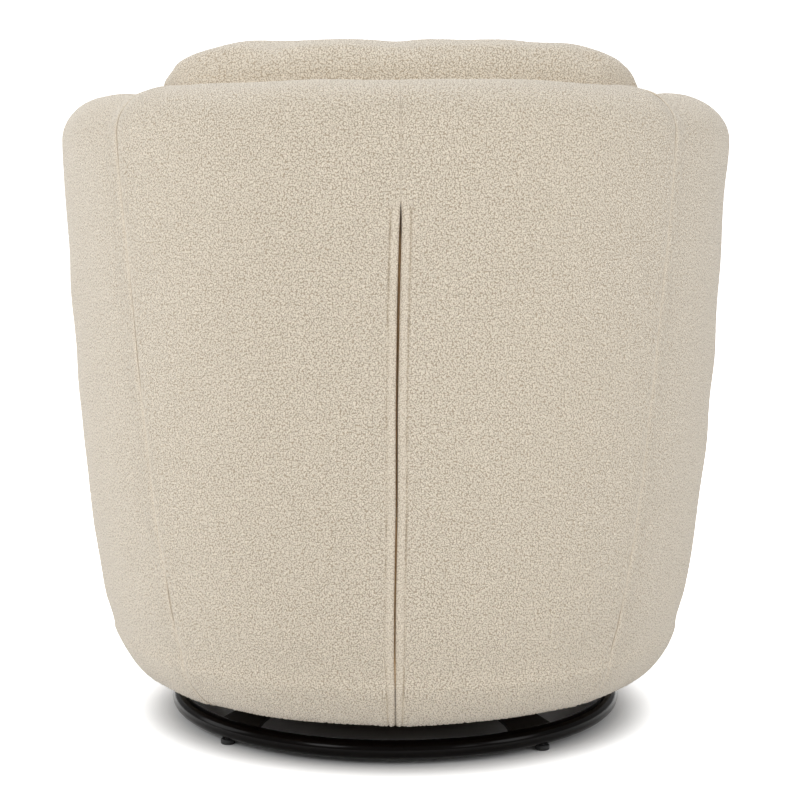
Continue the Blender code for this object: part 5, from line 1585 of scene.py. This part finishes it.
class ARMCHAIR_OT_covers(bpy.types.Operator):
    """Outside covers: two back panels, two arm panels and the front"""

    bl_idname = "armchair.covers"
    bl_label = "Covers"

    def execute(self, context):
        for label, side in (("left", 1), ("right", -1)):
            made = back_panel(side, ((0.067, 25), (0.906, 140), (0.027, 11)), (64, 48, 344, 40, 12))
            add_cover(f"outside_back_{label}", made, f"back_cover_{label}")
            made = arm_panel(side, (84, 104, 28), (84, 48, 212, 28, 8))
            add_cover(f"arm_panel_{label}", made, f"arm_cover_{label}")
        add_cover("front_panel", front_panel(241, (64, 28, 8)), "front_cover")
        return {"FINISHED"}


class ARMCHAIR_OT_zip(bpy.types.Operator):
    """Coil of the zip and the topstitching beside it"""

    bl_idname = "armchair.zip"
    bl_label = "Zip"

    def execute(self, context):
        self.coil()
        self.topstitching()
        return {"FINISHED"}

    def coil(self):
        """Two rows of coil turns that meet behind the opening."""
        lines = []
        row = np.linspace(outside_row(SLIT_TOP, BACK_HEIGHT), ROLL, 60)
        radius, level = profile(np.full(row.shape, BACK_HEIGHT), row)
        for side in (-1, 1):
            line = [(side * COIL_STEP, reach - COVER - GAP - COIL_BEHIND, up)
                    for reach, up in zip(radius, level)]
            lines.append((line, [(side, 0.0, 0.0)] * len(line)))
        path = [(0, 0.0, -0.0012), (0, 0.0007, -0.0004), (0.0003, 0.0007, 0.0006), (0.0003, 0, 0.0011),
                (0, -0.0007, 0.0006), (0, -0.0007, -0.0004)]
        shape = make_object("coil_turn", tube_mesh("coil_turn", path, COIL_WIRE, 5), finish("coil"))
        item = along_path("zip_coil", lines, shape, COIL_STEP, "coil")
        place_piece(item, "seat", "zip_tape")

    def topstitching(self):
        """A row of stitches along the fold of each lip."""
        lines = []
        row = np.linspace(outside_row(STITCH_TOP, BACK_HEIGHT), ROLL + 0.55, 160)
        radius, level = profile(np.full(row.shape, BACK_HEIGHT), row)
        depth = radius - STITCH_SUNK
        for side in (-1, 1):
            edge = centre_edge(side, row, level) + np.interp(level, LIP_LEVELS, LIP_WIDTHS)
            angle = edge / radius
            line = np.stack((side * depth * np.sin(angle), depth * np.cos(angle), level), axis=-1)
            facing = np.stack((side * np.sin(angle), np.cos(angle), np.zeros(len(row))), axis=-1)
            lines.append((line.tolist(), facing.tolist()))
        shape = stitch_shape(STITCH_LENGTH, STITCH_RISE, STITCH_THREAD)
        item = along_path("topstitching", lines, shape, STITCH_STEP, "thread")
        place_piece(item, "seat", "nubby_fabric")


class ARMCHAIR_OT_seat_cushion(bpy.types.Operator):
    """Loose seat cushion"""

    bl_idname = "armchair.seat_cushion"
    bl_label = "Seat cushion"

    def execute(self, context):
        item = make_cushion("loose_seat_cushion", seat_form, (60, 60, 14), (0, 1), (-1, 1), SEAT_VOXEL,
                            seat_limit)
        place_piece(item, "seat_cushion", "nubby_fabric", "seat_cushion")
        return {"FINISHED"}


class ARMCHAIR_OT_back_cushion(bpy.types.Operator):
    """Loose back cushion that stands above the rim"""

    bl_idname = "armchair.back_cushion"
    bl_label = "Back cushion"

    def execute(self, context):
        item = make_cushion("loose_back_cushion", back_form, (60, 16, 40), (0, 2), (-1,), BACK_VOXEL,
                            back_limit)
        place_piece(item, "back_cushion", "nubby_fabric", "back_cushion")
        return {"FINISHED"}


def aim(item, place, direction):
    """Put a lamp or camera at a place, facing a direction."""
    item.location = place
    item.rotation_euler = direction.to_track_quat("-Z", "Y").to_euler()


class ARMCHAIR_OT_stage(bpy.types.Operator):
    """Floor, light and camera"""

    bl_idname = "armchair.stage"
    bl_label = "Stage"

    def execute(self, context):
        settings = context.scene.armchair_stage
        context.scene.view_settings.view_transform = "Standard"
        self.floor()
        self.world(settings.dome)
        self.lamp("key", (2.15, 2.85, 1.95), (0, 0, 0.45), 1.3, settings.key)
        self.lamp("side", (3.2, -0.5, 1.3), (0, 0, 0.4), 2.0, settings.key * 0.75)
        self.lamp("fill", (-2.9, 1.6, 1.5), (0, 0, 0.4), 1.5, settings.fill)
        self.lamp("front", (0.6, -3.2, 2.4), (0, 0, 0.4), 2.4, settings.fill)
        self.lamp("top", (0.0, -1.4, 3.3), (0, 0, 0.5), 1.6, settings.top)
        self.lamp("glint", (-1.78, 2.54, 1.15), (0, 0, 0.05), 0.6, settings.glint)
        self.camera(settings)
        return {"FINISHED"}

    def floor(self):
        """A wide pale floor with a painted shadow under the chair, as bright as the backdrop away from it."""
        count = 24
        line = np.linspace(-FLOOR_HALF, FLOOR_HALF, count)
        points = [(x, y, 0.0) for x in line for y in line]
        mesh = bpy.data.meshes.new("floor")
        mesh.from_pydata(points, [], sheet_faces(count, count).tolist())
        material, wiring, shader, place = new_material("pale floor")
        flat = wiring.vector("MULTIPLY", place, (1, 1, 0))
        length = wiring.node("ShaderNodeVectorMath", {0: flat}, operation="LENGTH").outputs["Value"]
        # Painted shadow: the floor's own colour turns dark brown under the chair
        under = wiring.span(length, *FLOOR_PAINTED_SHADOW)
        colour = wiring.mix(under, (0.18, 0.14, 0.105, 1), (0.86, 0.86, 0.86, 1))
        path = wiring.node("ShaderNodeLightPath").outputs
        seen = wiring.math("MAXIMUM", path["Is Camera Ray"],
                           wiring.math("MAXIMUM", path["Is Glossy Ray"], path["Is Transmission Ray"]))
        glow = wiring.times(seen, wiring.span(length, *FLOOR_WHITE))
        set_inputs(shader, {"Base Color": colour, "Roughness": 0.9, "Specular IOR Level": 0.1,
                            "Emission Color": (1, 1, 1, 1), "Emission Strength": glow})
        make_object("floor", mesh, material)

    def world(self, strength):
        """A white backdrop, and an even light that is stronger from above."""
        world = bpy.data.worlds.new("studio")
        bpy.context.scene.world = world
        world.use_nodes = True
        wiring = Wiring(world.node_tree)
        path = wiring.node("ShaderNodeLightPath").outputs
        seen = wiring.math("MAXIMUM", path["Is Camera Ray"], path["Is Transmission Ray"])
        toward = wiring.node("ShaderNodeTexCoord").outputs["Generated"]
        dome = wiring.span(wiring.parts(toward)[2], -0.1, 0.8, strength * 0.55, strength * 1.25)
        light = wiring.plus(wiring.times(wiring.minus(1.0, seen), dome), seen)
        set_inputs(world.node_tree.nodes["Background"], {"Color": (1, 1, 1, 1), "Strength": light})

    def lamp(self, name, place, target, size, power):
        """A round lamp that faces its target."""
        data = bpy.data.lights.new(name, "AREA")
        data.shape = "DISK"
        data.size = size
        data.energy = power
        aim(add_object(name, data), Vector(place), Vector(target) - Vector(place))

    def camera(self, settings):
        """The photograph's camera, a little past straight behind."""
        data = bpy.data.cameras.new("camera")
        data.lens = FOCAL_PIXELS / PHOTO_SIZE * SENSOR
        data.sensor_width = SENSOR
        data.clip_end = 200.0
        back = Vector((math.sin(settings.azimuth), math.cos(settings.azimuth), 0))
        right = Vector((-back.y, back.x, 0))
        shift = (PHOTO_SIZE / 2 - AXIS_PIXEL_X) / FOCAL_PIXELS * settings.distance
        look = -back * math.cos(settings.pitch) - Vector((0, 0, math.sin(settings.pitch)))
        item = add_object("camera", data)
        aim(item, back * settings.distance + right * shift + Vector((0, 0, settings.height)), look)
        bpy.context.scene.camera = item


class ARMCHAIR_PT_panel(bpy.types.Panel):
    """Lists the chair's settings and the operators that make its pieces"""

    bl_idname = "ARMCHAIR_PT_panel"
    bl_label = "Armchair"
    bl_space_type = "VIEW_3D"
    bl_region_type = "UI"
    bl_category = "Armchair"

    def draw(self, context):
        for settings in (context.scene.armchair_fabric, context.scene.armchair_cushions,
                         context.scene.armchair_stage):
            box = self.layout.box()
            for name in settings.bl_rna.properties.keys():
                if name not in ("rna_type", "name"):
                    box.prop(settings, name)
        for operator in OPERATORS:
            self.layout.operator(operator.bl_idname)


OPERATORS = (ARMCHAIR_OT_frame, ARMCHAIR_OT_base, ARMCHAIR_OT_dust_cover, ARMCHAIR_OT_padding,
             ARMCHAIR_OT_covers, ARMCHAIR_OT_zip, ARMCHAIR_OT_seat_cushion, ARMCHAIR_OT_back_cushion,
             ARMCHAIR_OT_stage)
SETTINGS = {"armchair_fabric": ArmchairFabric, "armchair_cushions": ArmchairCushions,
            "armchair_stage": ArmchairStage}


def register():
    for kind in (*SETTINGS.values(), *OPERATORS, ARMCHAIR_PT_panel):
        bpy.utils.register_class(kind)
    for name, kind in SETTINGS.items():
        setattr(bpy.types.Scene, name, PointerProperty(type=kind))


def unregister():
    for name in SETTINGS:
        delattr(bpy.types.Scene, name)
    for kind in reversed((*SETTINGS.values(), *OPERATORS, ARMCHAIR_PT_panel)):
        bpy.utils.unregister_class(kind)


def main():
    register()
    for operator in OPERATORS:
        group_name, name = operator.bl_idname.split(".")
        getattr(getattr(bpy.ops, group_name), name)()


if __name__ == "__main__":
    main()
